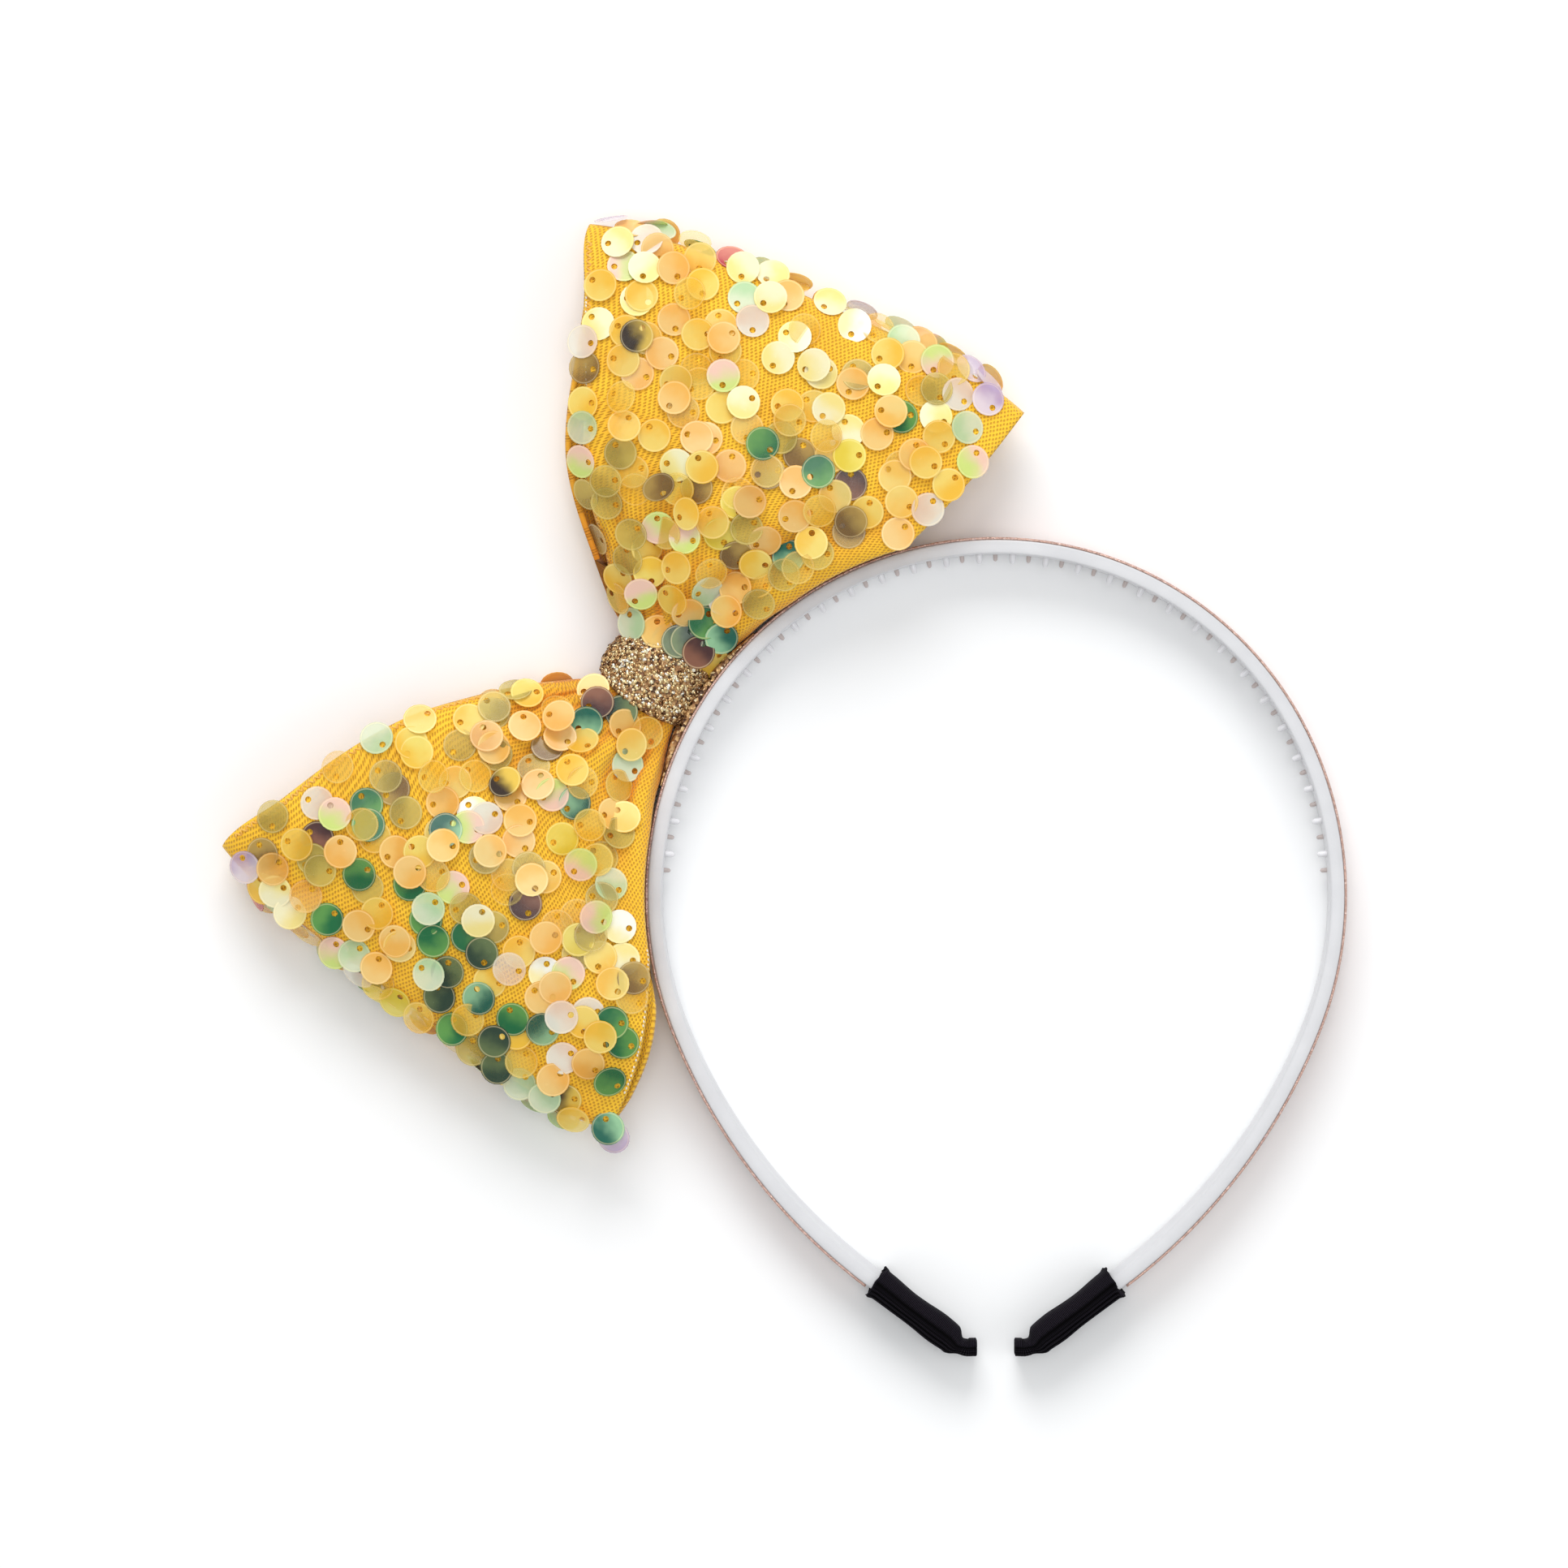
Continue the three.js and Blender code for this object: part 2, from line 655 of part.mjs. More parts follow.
function piece(name, geometry, look) {
  const mesh = new THREE.Mesh(geometry, look);
  mesh.name = name;
  return mesh;
}

const whitePlastic = material(0xe9e8ec, 0.35);
const roseGlitter = material(0xb98366, 0.45, 0.6);
const blackCloth = material(0x141318, 0.85);
const yellowCloth = material(0xf2b01e, 0.75);
const goldGlitter = material(0xb88f4a, 0.4, 0.7);

const ring = new THREE.Group();
ring.add(piece('band', bandGeometry(), whitePlastic));
ring.add(piece('band_cover', coverGeometry(), roseGlitter));
ring.add(piece('tip_sleeve_left', sleeveGeometry(1), blackCloth));
ring.add(piece('tip_sleeve_right', sleeveGeometry(-1), blackCloth));

const bow = new THREE.Group();
bow.add(piece('bow', bowGeometry(), yellowCloth));
bow.add(piece('bow_knot', knotGeometry(), goldGlitter));
const seat = bowPose();
bow.position.set(seat.x, seat.y, 0);
bow.rotation.z = seat.turn;

// The whole object is moved so that the middle of its footprint on the table is the origin
const object = new THREE.Group();
object.add(ring, bow);
const box = new THREE.Box3().setFromObject(object, true);
object.position.set(-(box.min.x + box.max.x) / 2, -(box.min.y + box.max.y) / 2, -box.min.z);

const headband = new THREE.Group();
headband.add(object);

export default headband;
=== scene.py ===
# %% [markdown]
# # A sequin bow headband, lying on its side
# The headband is a springy white plastic ring with a glitter strip round the outside, a cloth sleeve
# on each tip, and a big bow of yellow sequin cloth held by a glitter knot. The CAD model gives the
# places and sizes. This file makes each piece again with the detail that shows close up, on the same
# lines. Lengths in the cells are millimetres, and become Blender's metres when a mesh is made.

# %% The frame
import math

import bpy
import numpy as np
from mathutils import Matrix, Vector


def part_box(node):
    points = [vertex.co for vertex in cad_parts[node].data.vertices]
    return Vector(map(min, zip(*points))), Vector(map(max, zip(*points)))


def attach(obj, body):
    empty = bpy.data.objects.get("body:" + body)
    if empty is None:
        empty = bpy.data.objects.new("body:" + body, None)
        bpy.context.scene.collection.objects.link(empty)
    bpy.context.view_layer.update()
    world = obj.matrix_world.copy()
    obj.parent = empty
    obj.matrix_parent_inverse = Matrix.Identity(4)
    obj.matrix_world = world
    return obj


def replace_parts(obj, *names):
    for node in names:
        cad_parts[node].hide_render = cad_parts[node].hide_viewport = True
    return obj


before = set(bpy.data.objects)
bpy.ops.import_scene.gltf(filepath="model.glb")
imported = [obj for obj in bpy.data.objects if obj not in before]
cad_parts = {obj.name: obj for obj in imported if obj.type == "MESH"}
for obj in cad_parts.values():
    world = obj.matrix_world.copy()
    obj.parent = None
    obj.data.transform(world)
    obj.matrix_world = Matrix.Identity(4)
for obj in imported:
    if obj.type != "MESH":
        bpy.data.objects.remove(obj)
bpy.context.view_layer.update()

# %% [markdown]
# ## Camera
# The headband is seen from straight above through a long lens, as a shop's camera hangs over a table.
# The far camera keeps the walls of the ring upright. The lens is worked out from the width of floor
# that the picture takes in, measured at the height of the band's upper edge.

# %% Camera
VIEW_WIDTH = 0.2786
VIEW_MIDDLE = (-0.00012, 0.0007)
VIEW_HEIGHT = 1.7

camera = bpy.data.objects.new("camera", bpy.data.cameras.new("camera"))
camera.location = (*VIEW_MIDDLE, VIEW_HEIGHT)
camera.data.lens = camera.data.sensor_width * (VIEW_HEIGHT - 0.01) / VIEW_WIDTH
camera.data.clip_end = 10
bpy.context.scene.collection.objects.link(camera)
bpy.context.scene.camera = camera
print("lens, mm:", round(camera.data.lens, 1))

# %% [markdown]
# ## Floor and light
# A big pale floor and soft light from large panels give a plain studio look. One panel hangs straight
# above, so nothing has a dark rim at its foot, and the main one hangs behind the crown, so the soft
# shadows fall towards the tips. An even sky, very slightly blue against the bow's warm glow, fills them.

# %% Floor
def plain_finish(name, color, roughness):
    finish = bpy.data.materials.new(name)
    finish.use_nodes = True
    shader = finish.node_tree.nodes["Principled BSDF"]
    shader.inputs["Base Color"].default_value = color
    shader.inputs["Roughness"].default_value = roughness
    return finish


floor_mesh = bpy.data.meshes.new("floor")
floor_mesh.from_pydata([(-3, -3, 0), (3, -3, 0), (3, 3, 0), (-3, 3, 0)], [], [(0, 1, 2, 3)])
floor_mesh.materials.append(plain_finish("floor_paper", (0.97, 0.975, 0.98, 1), 0.9))
floor = bpy.data.objects.new("floor", floor_mesh)
bpy.context.scene.collection.objects.link(floor)

# %% Light
def add_panel(name, place, size, power):
    panel = bpy.data.objects.new(name, bpy.data.lights.new(name, "AREA"))
    panel.data.shape = "DISK"
    panel.data.size = size
    panel.data.energy = power
    panel.location = place
    panel.rotation_euler = (math.atan2(math.hypot(*place[:2]), place[2]), 0,
                            math.atan2(place[1], place[0]) + math.pi / 2)
    bpy.context.scene.collection.objects.link(panel)
    return panel


add_panel("main_panel", (-0.15, 1.55, 1.2), 1.3, 22)
add_panel("side_panel", (1.4, -0.1, 1.3), 0.9, 3)
add_panel("top_panel", (0.0, 0.0, 2.6), 1.2, 12)
sky = bpy.data.worlds.new("studio_sky")
bpy.context.scene.world = sky
sky.use_nodes = True
sky.node_tree.nodes["Background"].inputs["Color"].default_value = (0.975, 0.99, 1, 1)
sky.node_tree.nodes["Background"].inputs["Strength"].default_value = 0.6
bpy.context.scene.view_settings.view_transform = "Standard"

# %% [markdown]
# ## From surface to mesh
# Every new piece is a grid of points worked out all at once with numpy. One helper puts the points
# and faces into a mesh. It adds up the volume under the faces first: a closed mesh whose faces point
# outwards has a positive volume, so a negative one is turned the right way round.

# %% Mesh helpers
MM = 0.001


def grid_faces(rows, columns, first=0, hoop=False):
    """Four-cornered faces between neighbouring rows and columns of a grid of points.
    With hoop, the last column joins the first."""
    row, column = np.meshgrid(np.arange(rows - 1), np.arange(columns if hoop else columns - 1), indexing="ij")
    after = (column + 1) % columns
    corners = [row * columns + column, row * columns + after,
               (row + 1) * columns + after, (row + 1) * columns + column]
    return np.stack([corner.ravel() for corner in corners], axis=1) + first


def tube_faces(rows, columns, first=0):
    """Faces of a tube of rings, with one many-cornered face on each end."""
    start = first + np.arange(columns)[::-1][None, :]
    end = first + (rows - 1) * columns + np.arange(columns)[None, :]
    return [grid_faces(rows, columns, first, hoop=True), start, end]


def volume_under(points, faces):
    """A sixth of the sum of each triangle's corner times the cross product of its other two."""
    total = 0.0
    for group in faces:
        for k in range(1, group.shape[1] - 1):
            a, b, c = points[group[:, 0]], points[group[:, k]], points[group[:, k + 1]]
            total += np.einsum("ij,ij->", a, np.cross(b, c)) / 6
    return total


def new_piece(name, points, faces, finish, uv=None, colors=None, shares=None):
    """A mesh object from points in millimetres and groups of faces. uv holds a map by name with a
    pair for each point, colors a colour for each point, and shares a number for each point."""
    points = np.asarray(points, float)
    middle = points.mean(axis=0)
    if volume_under(points - middle, faces) < 0:
        faces = [group[:, ::-1] for group in faces]
    corners = np.concatenate([group.ravel() for group in faces]).astype(np.int32)
    sizes = np.concatenate([np.full(len(group), group.shape[1]) for group in faces])
    starts = np.concatenate([[0], np.cumsum(sizes)[:-1]]).astype(np.int32)
    mesh = bpy.data.meshes.new(name)
    mesh.vertices.add(len(points))
    mesh.vertices.foreach_set("co", (points * MM).astype(np.float32).ravel())
    mesh.loops.add(len(corners))
    mesh.loops.foreach_set("vertex_index", corners)
    mesh.polygons.add(len(sizes))
    mesh.polygons.foreach_set("loop_start", starts)
    mesh.update(calc_edges=True)
    for map_name, pairs in (uv or {}).items():
        layer = mesh.uv_layers.new(name=map_name)
        layer.uv.foreach_set("vector", np.asarray(pairs, np.float32)[corners].ravel())
    for color_name, values in (colors or {}).items():
        layer = mesh.color_attributes.new(color_name, "FLOAT_COLOR", "POINT")
        layer.data.foreach_set("color", np.asarray(values, np.float32).ravel())
    for share_name, values in (shares or {}).items():
        layer = mesh.attributes.new(share_name, "FLOAT", "POINT")
        layer.data.foreach_set("value", np.asarray(values, np.float32).ravel())
    mesh.shade_smooth()
    mesh.materials.append(finish)
    piece = bpy.data.objects.new(name, mesh)
    bpy.context.scene.collection.objects.link(piece)
    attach(piece, "root")
    print(name, "points:", len(points), "faces:", len(sizes))
    return piece


# %% [markdown]
# ## The ring's line
# The band is moulded as a spring that is open at the tips. Seen flat, its outer outline is three arcs
# on each side that meet smoothly. Every piece on the ring is placed by its distance along this line
# and its distance out from it, so all of them share one function.

# %% The ring's line
CROWN_RADIUS = 62.0
ARCS = ((CROWN_RADIUS, 62.3), (65.7, 48.8), (105.4, 32.6))
cover_low, cover_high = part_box("band_cover")
RING_X = (cover_low[0] + cover_high[0]) / 2 / MM
RING_Y = cover_high[1] / MM - CROWN_RADIUS
MOUTH_AT = sum(radius * math.radians(sweep) for radius, sweep in ARCS)


def ring_line(distance):
    """Point, outward direction, side and heading at a distance from the crown. Each arc adds its
    radius times the change of the heading's sine and cosine, and what is left over runs straight."""
    distance = np.asarray(distance, float)
    hand = np.where(distance < 0, -1.0, 1.0)
    left = np.abs(distance)
    x, y, heading = np.zeros_like(left), np.full_like(left, CROWN_RADIUS), np.zeros_like(left)
    for radius, sweep in ARCS:
        turn = np.minimum(left / radius, math.radians(sweep))
        x -= radius * (np.sin(heading + turn) - np.sin(heading))
        y += radius * (np.cos(heading + turn) - np.cos(heading))
        heading = heading + turn
        left = left - radius * turn
    x -= left * np.cos(heading)
    y -= left * np.sin(heading)
    place = np.stack([hand * x + RING_X, y + RING_Y], axis=-1)
    outward = np.stack([-hand * np.sin(heading), np.cos(heading)], axis=-1)
    return place, outward, hand, heading


def carry_profile(place, outward, out, up):
    """Carries a profile along a line: each point is the line's point plus out times the outward
    direction, at the height up. out and up have a row for each station of the line."""
    flat = place[:, None, :] + outward[:, None, :] * out[:, :, None]
    return np.concatenate([flat, np.broadcast_to(up, out.shape)[:, :, None]], axis=2)


print("from the crown to a sleeve's mouth, mm:", round(MOUTH_AT, 1))

# %% Curves through tables
def smooth(value):
    """Rises from 0 to 1 and is level at both ends: three squares less two cubes."""
    share = np.clip(value, 0, 1)
    return share * share * (3 - 2 * share)


def ease_ends(share, amount):
    """Crowds shares of 0 to 1 towards both ends: each moves by the amount towards one half less
    half its cosine over half a turn."""
    return share + ((1 - np.cos(np.pi * share)) / 2 - share) * amount


def curve_through(places, values, at):
    """A smooth curve through a table's points: a cubic between neighbours, whose slope at a point is
    that of the line between the points on both sides, or level where the values turn."""
    places, values = np.asarray(places, float), np.asarray(values, float)
    before, after = np.append(values[:1], values[:-1]), np.append(values[1:], values[-1:])
    span = np.append(places[1:], places[-1:]) - np.append(places[:1], places[:-1])
    slope = np.where((values - before) * (after - values) <= 0, 0, (after - before) / span)
    i = np.clip(np.searchsorted(places, at, side="right"), 1, len(places) - 1)
    gap = places[i] - places[i - 1]
    t = np.clip((at - places[i - 1]) / gap, 0, 1)
    keep = (1 + 2 * t) * (1 - t) ** 2
    ends = keep * values[i - 1] + (1 - keep) * values[i]
    return ends + t * (1 - t) ** 2 * gap * slope[i - 1] + t * t * (t - 1) * gap * slope[i]


# %% [markdown]
# ## Building a finish
# A finish is a small network of nodes. These helpers add a node with its settings, link or set its
# inputs, and return the socket that the next step reads, so that a finish reads from top to bottom.

# %% Finish helpers
def paint(code):
    """The light that a screen colour stands for: each channel to the power of about 2.4."""
    channels = np.array([int(code[k:k + 2], 16) for k in (1, 3, 5)]) / 255
    light = np.where(channels <= 0.04045, channels / 12.92, ((channels + 0.055) / 1.055) ** 2.4)
    return (*map(float, light), 1.0)


def add_node(finish, kind, inputs=None, **settings):
    made = finish.node_tree.nodes.new("ShaderNode" + kind)
    for setting, value in settings.items():
        setattr(made, setting, value)
    for socket, value in (inputs or {}).items():
        if isinstance(value, bpy.types.NodeSocket):
            finish.node_tree.links.new(value, made.inputs[socket])
        else:
            made.inputs[socket].default_value = value
    return made


def calculate(finish, operation, first, second=0.0, third=0.0):
    inputs = {0: first, 1: second, 2: third}
    return add_node(finish, "Math", inputs, operation=operation).outputs[0]


def mix_colors(finish, share, first, second, blend_type="MIX"):
    return add_node(finish, "Mix", {0: share, 6: first, 7: second},
                    data_type="RGBA", blend_type=blend_type).outputs[2]


def rise(finish, value, start, end):
    """0 where the value is below start, 1 above end, and smooth between."""
    inputs = {"Value": value, "From Min": start, "From Max": end}
    return add_node(finish, "MapRange", inputs, interpolation_type="SMOOTHSTEP").outputs[0]


def read_share(finish, name):
    return add_node(finish, "Attribute", attribute_name=name).outputs["Fac"]


def read_color(finish, name):
    return add_node(finish, "Attribute", attribute_name=name).outputs["Color"]


def object_place(finish):
    return add_node(finish, "TexCoord").outputs["Object"]


def noise(finish, scale, detail=2.0):
    """A cloud of values from 0 to 1 over the object's own place, whose lumps are 1 / scale metres."""
    inputs = {"Vector": object_place(finish), "Scale": scale, "Detail": detail}
    return add_node(finish, "TexNoise", inputs).outputs["Fac"]


def spread(finish, value, low, high):
    """Spreads a value of 0 to 1 evenly over the numbers from low to high."""
    return add_node(finish, "MapRange", {"Value": value, "To Min": low, "To Max": high}).outputs[0]


def dress(finish, sockets, height=None, depth=0.0001):
    """Links or sets the shader's sockets, and bends its normals by a height of this depth in metres."""
    shader = finish.node_tree.nodes["Principled BSDF"]
    if height is not None:
        bump = add_node(finish, "Bump", {"Height": height, "Distance": depth, "Strength": 1.0})
        sockets = {**sockets, "Normal": bump.outputs[0]}
    for socket, value in sockets.items():
        if isinstance(value, bpy.types.NodeSocket):
            finish.node_tree.links.new(value, shader.inputs[socket])
        else:
            shader.inputs[socket].default_value = value


# %% [markdown]
# ## Band
# The band is injection moulded in white plastic: flat outside, with rounded edges, and a swell inside
# that grows towards the tails, where the ring is thicker. A mould leaves soft corners and a very
# slight waviness, so the profile has a small arc at each corner and is carried along the ring's line.

# %% Band finish
white_plastic = plain_finish("white_plastic", paint("#EAE9EC"), 0.32)
plastic_cloud = noise(white_plastic, 160.0, 3.0)
dress(white_plastic, {
    "Base Color": mix_colors(white_plastic, plastic_cloud, paint("#D9D9DB"), paint("#CDCDD0")),
    "Roughness": spread(white_plastic, plastic_cloud, 0.26, 0.42),
    "Subsurface Weight": 0.15,
    "Subsurface Radius": (0.002, 0.002, 0.002),
    "Subsurface Scale": 1.0,
}, noise(white_plastic, 2600.0), 0.00002)

# %% Band shape
BAND_WIDTH, BAND_EDGE, BAND_ROUND, BAND_SWELL = 10.0, 2.3, 0.35, 1.0
BAND_OUTER, BAND_SKIN = -0.7, -0.49
TAIL_LENGTH = 15.6
BAND_PLACES = (0, 0.34, 0.54, 0.66, 0.77, 0.88, 0.98, 1.01, 1.04, 1.3)
BAND_SWELLS = (0, 0, 0.15, 0.3, 0.55, 0.85, 1, 0.8, 0.4, 0.4)
BAND_WIDTHS = (1, 1, 0.97, 0.93, 0.89, 0.83, 0.78, 0.75, 0.74, 0.74)


def band_shape(distance):
    """Depth of the swell, and the lower and upper edge of the band, from the table by distance."""
    along = np.abs(distance) / MOUTH_AT
    swell = BAND_SWELL * curve_through(BAND_PLACES, BAND_SWELLS, along)
    width = BAND_WIDTH * curve_through(BAND_PLACES, BAND_WIDTHS, along)
    return swell, (BAND_WIDTH - width) / 2, (BAND_WIDTH + width) / 2


def corner_arc(out, up, start, radius=BAND_ROUND):
    """A quarter circle round a centre, as cosine and sine of four angles from start."""
    angles = np.radians(start + np.linspace(0, 90, 4))
    return out + radius * np.cos(angles), up[:, None] + radius * np.sin(angles)


def band_profile(distance):
    """Two rounded corners outside, two inside, and between those a swell with soft shoulders."""
    swell, low, high = band_shape(distance)
    r, edge = BAND_ROUND, BAND_OUTER - BAND_EDGE
    share = np.linspace(0, 1, 11)[1:-1]
    crest = smooth(share / 0.36) * smooth((1 - share) / 0.36)
    swell_up = (high - r)[:, None] + (low - high + 2 * r)[:, None] * share
    parts = [corner_arc(BAND_SKIN - r, low + r, -90), corner_arc(BAND_SKIN - r, high - r, 0),
             corner_arc(edge + r, high - r, 90), (edge - swell[:, None] * crest, swell_up),
             corner_arc(edge + r, low + r, 180)]
    out = np.concatenate([np.broadcast_to(part[0], part[1].shape) for part in parts], axis=1)
    return out, np.concatenate([part[1] for part in parts], axis=1)


band_end = MOUTH_AT + TAIL_LENGTH
band_places = np.linspace(-band_end, band_end, 360)
band_line, band_outward, _, _ = ring_line(band_places)
band_points = carry_profile(band_line, band_outward, *band_profile(band_places))
band = new_piece("band_shell", band_points.reshape(-1, 3), tube_faces(*band_points.shape[:2]),
                 white_plastic)
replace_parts(band, "band")

# %% [markdown]
# ## Comb teeth
# Two staggered rows of short teeth inside the crown grip the hair. They are moulded with the band.
# Each is a small round peg, so one peg's rings are worked out once and set at every place at once.
# The lower row is a little shorter and is painted a darker, warmer tone as shade, so a share on each
# point tells the finish which row it is in.

# %% Comb teeth
TOOTH_PITCH, TOOTH_RADIUS, TOOTH_LENGTH, TOOTH_REACH = 6.3, 0.6, 1.7, 97.0
TOOTH_ROWS = (0.28, 0.72)

tooth_finish = plain_finish("tooth_plastic", paint("#E6E4E8"), 0.22)
tooth_row_shade = read_share(tooth_finish, "row")
# Painted shade: the lower row, row 0, is painted a darker, warmer tone than the upper row
dress(tooth_finish, {
    "Base Color": mix_colors(tooth_finish, tooth_row_shade, paint("#CBBEBA"), paint("#E8E7EA")),
    "Subsurface Weight": 0.2,
    "Subsurface Radius": (0.001, 0.001, 0.001),
    "Subsurface Scale": 1.0,
}, noise(tooth_finish, 900.0), 0.00003)


def tooth_places():
    """Distances along the ring and row numbers: whole pitches, and the second row half a pitch on."""
    steps = np.arange(-15, 16) * TOOTH_PITCH
    places = np.concatenate([steps, steps + TOOTH_PITCH / 2])
    rows = np.repeat([0, 1], len(steps))
    kept = np.abs(places) <= TOOTH_REACH
    return places[kept], rows[kept]


tooth_at, tooth_in_row = tooth_places()
tooth_line, tooth_outward, _, _ = ring_line(tooth_at)
tooth_swell, tooth_low, tooth_high = band_shape(tooth_at)
tooth_up = tooth_low + (tooth_high - tooth_low) * np.take(TOOTH_ROWS, tooth_in_row)
tooth_root = BAND_OUTER - BAND_EDGE - tooth_swell
tooth_wide = TOOTH_RADIUS * np.array([1.1, 1.0, 0.97, 0.92, 0.78, 0.5, 0.12])
tooth_long = TOOTH_LENGTH * np.array([-0.35, 0.02, 0.35, 0.62, 0.82, 0.95, 1.0])
tooth_round = np.linspace(0, 2 * np.pi, 10, endpoint=False)
tooth_scale = np.where(tooth_in_row == 1, 1.0, 0.7)
# A tooth's own grid has rings along it and ten points round it, then one copy for each place
tooth_side = np.stack([-tooth_outward[:, 1], tooth_outward[:, 0]], axis=1)
tooth_reach = tooth_root[:, None] - tooth_long * tooth_scale[:, None]
tooth_girth = tooth_wide * tooth_scale[:, None]
tooth_flat = (tooth_line[:, None, None, :] + tooth_outward[:, None, None, :] * tooth_reach[:, :, None, None]
              + tooth_side[:, None, None, :] * (tooth_girth[:, :, None] * np.cos(tooth_round))[..., None])
tooth_height = tooth_up[:, None, None] + tooth_girth[:, :, None] * np.sin(tooth_round)
tooth_points = np.concatenate([tooth_flat, tooth_height[..., None]], axis=3).reshape(-1, 3)
tooth_size = len(tooth_wide) * len(tooth_round)
tooth_firsts = np.arange(len(tooth_at)) * tooth_size


def repeat_faces(groups, firsts):
    """The same groups of faces once for each copy, counted on from each copy's first point."""
    return [(firsts[:, None, None] + group[None]).reshape(-1, group.shape[1]) for group in groups]


comb_teeth = new_piece("comb_teeth", tooth_points,
                       repeat_faces(tube_faces(len(tooth_wide), len(tooth_round)), tooth_firsts),
                       tooth_finish,
                       shares={"row": np.repeat(tooth_in_row, tooth_size)})
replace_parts(comb_teeth, "band")

# %% [markdown]
# ## Glitter strip
# A thin strip with rose-gold glitter is glued round the outside of the band. From above only its thin
# edge shows, as a brown and copper line. The strip's outer face is a fine grid, and its finish gives
# each flake of glitter a tone and a tilt of its own by cells of a Voronoi pattern.

# %% Glitter strip finish
def glitter_finish(name, steps, scale, metal, roughness, depth):
    """Flakes as Voronoi cells: the cell's own random colour picks a tone from the steps, and the
    distance from the cell's middle tilts its face. Where the share called cut is high, the tone goes
    over to a pale pink: partly the backing that shows along a strip's cut edge, and partly painted
    light that brightens that edge."""
    finish = plain_finish(name, (0.5, 0.4, 0.3, 1), roughness)
    place = object_place(finish)
    cells = add_node(finish, "TexVoronoi", {"Vector": place, "Scale": scale})
    pick = add_node(finish, "SeparateColor", {0: cells.outputs["Color"]})
    ramp = add_node(finish, "ValToRGB", {0: pick.outputs[0]})
    ramp.color_ramp.interpolation = "CONSTANT"
    for k, (start, code) in enumerate(steps):
        stop = ramp.color_ramp.elements[k] if k < 2 else ramp.color_ramp.elements.new(start)
        stop.position, stop.color = start, paint(code)
    height = calculate(finish, "ADD", cells.outputs["Distance"], pick.outputs[1])
    # Partly painted light: the cut share pales the tone along the strip's edge
    tone = mix_colors(finish, calculate(finish, "MULTIPLY", read_share(finish, "cut"), 0.7),
                      ramp.outputs[0], paint("#D2AFA2"))
    dress(finish, {"Base Color": tone, "Metallic": metal}, height, depth)
    return finish


rose_glitter = glitter_finish("rose_glitter", (
    (0.0, "#7E564C"), (0.12, "#A87868"), (0.32, "#CB9C8A"), (0.58, "#DDB3A2"),
    (0.76, "#EBCDC0"), (0.9, "#FAE9E0"), (0.96, "#AE9DB4")), 3400.0, 0.4, 0.36, 0.0001)

# %% Glitter strip
COVER_THICKNESS, COVER_INSET = 0.46, 0.2

cover_end = MOUTH_AT - 1.6
cover_places = np.linspace(-cover_end, cover_end, 420)
_, cover_band_low, cover_band_high = band_shape(cover_places)
cover_share = np.array([0, 0, 0, 0.03, 0.15, 0.3, 0.45, 0.6, 0.75, 0.9, 1.0, 1.0, 1.0, 0.97, 0.5, 0.03])
cover_out_share = np.array([1, 0.5, 0.2, 0, 0, 0, 0, 0, 0, 0, 0.2, 0.6, 1, 1.0, 1.0, 1.0])
cover_span = cover_band_high - cover_band_low - 2 * COVER_INSET
cover_up = (cover_band_low + COVER_INSET)[:, None] + cover_span[:, None] * cover_share
cover_out = np.broadcast_to(-COVER_THICKNESS * cover_out_share, cover_up.shape)
cover_line, cover_outward, _, _ = ring_line(cover_places)
cover_points = carry_profile(cover_line, cover_outward, cover_out, cover_up)
cover_backing_and_light = np.tile(np.where((cover_out_share > 0.1) & (cover_share != 0.5), 1.0, 0.0), len(cover_places))
glitter_strip = new_piece("glitter_strip", cover_points.reshape(-1, 3), tube_faces(*cover_points.shape[:2]),
                          rose_glitter, shares={"cut": cover_backing_and_light})
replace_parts(glitter_strip, "band_cover")

# %% [markdown]
# ## Tip sleeves
# Each tail is pushed into a sleeve of black ribbed cloth, which is sewn flat into a small tab at its
# end. The sleeve is one tube turned back into itself: it runs up the outside to the mouth and down
# the inside round the tail. Ribs are waves across its wide faces, and the mouth is a little ragged.

# %% Sleeve finish
black_cloth = plain_finish("black_rib", paint("#1A171D"), 0.95)
sleeve_thread = add_node(black_cloth, "UVMap", uv_map="weave").outputs[0]
sleeve_rows = add_node(black_cloth, "TexWave", {
    "Vector": sleeve_thread, "Scale": 1.15, "Distortion": 1.2, "Detail": 2.0, "Detail Scale": 2.0},
    bands_direction="Y").outputs["Fac"]
sleeve_fuzz = add_node(black_cloth, "TexNoise", {"Vector": sleeve_thread, "Scale": 3.2, "Detail": 3.0},
                       noise_dimensions="2D").outputs["Fac"]
sleeve_height = calculate(black_cloth, "MULTIPLY_ADD", sleeve_fuzz, 0.7, sleeve_rows)
sleeve_tone = mix_colors(black_cloth, rise(black_cloth, sleeve_height, 0.35, 1.45),
                         paint("#050406"), paint("#2B2730"))
# The tone follows the weave's height, darker in its low rows and lighter on the raised threads. Painted
# shade: the grooves between the ribs are painted near black.
dress(black_cloth, {
    "Base Color": mix_colors(black_cloth, read_share(black_cloth, "groove"), sleeve_tone, paint("#020202")),
    "Specular IOR Level": 0.05,
    "Sheen Weight": 0.01,
    "Sheen Roughness": 0.5,
}, sleeve_height, 0.00012)

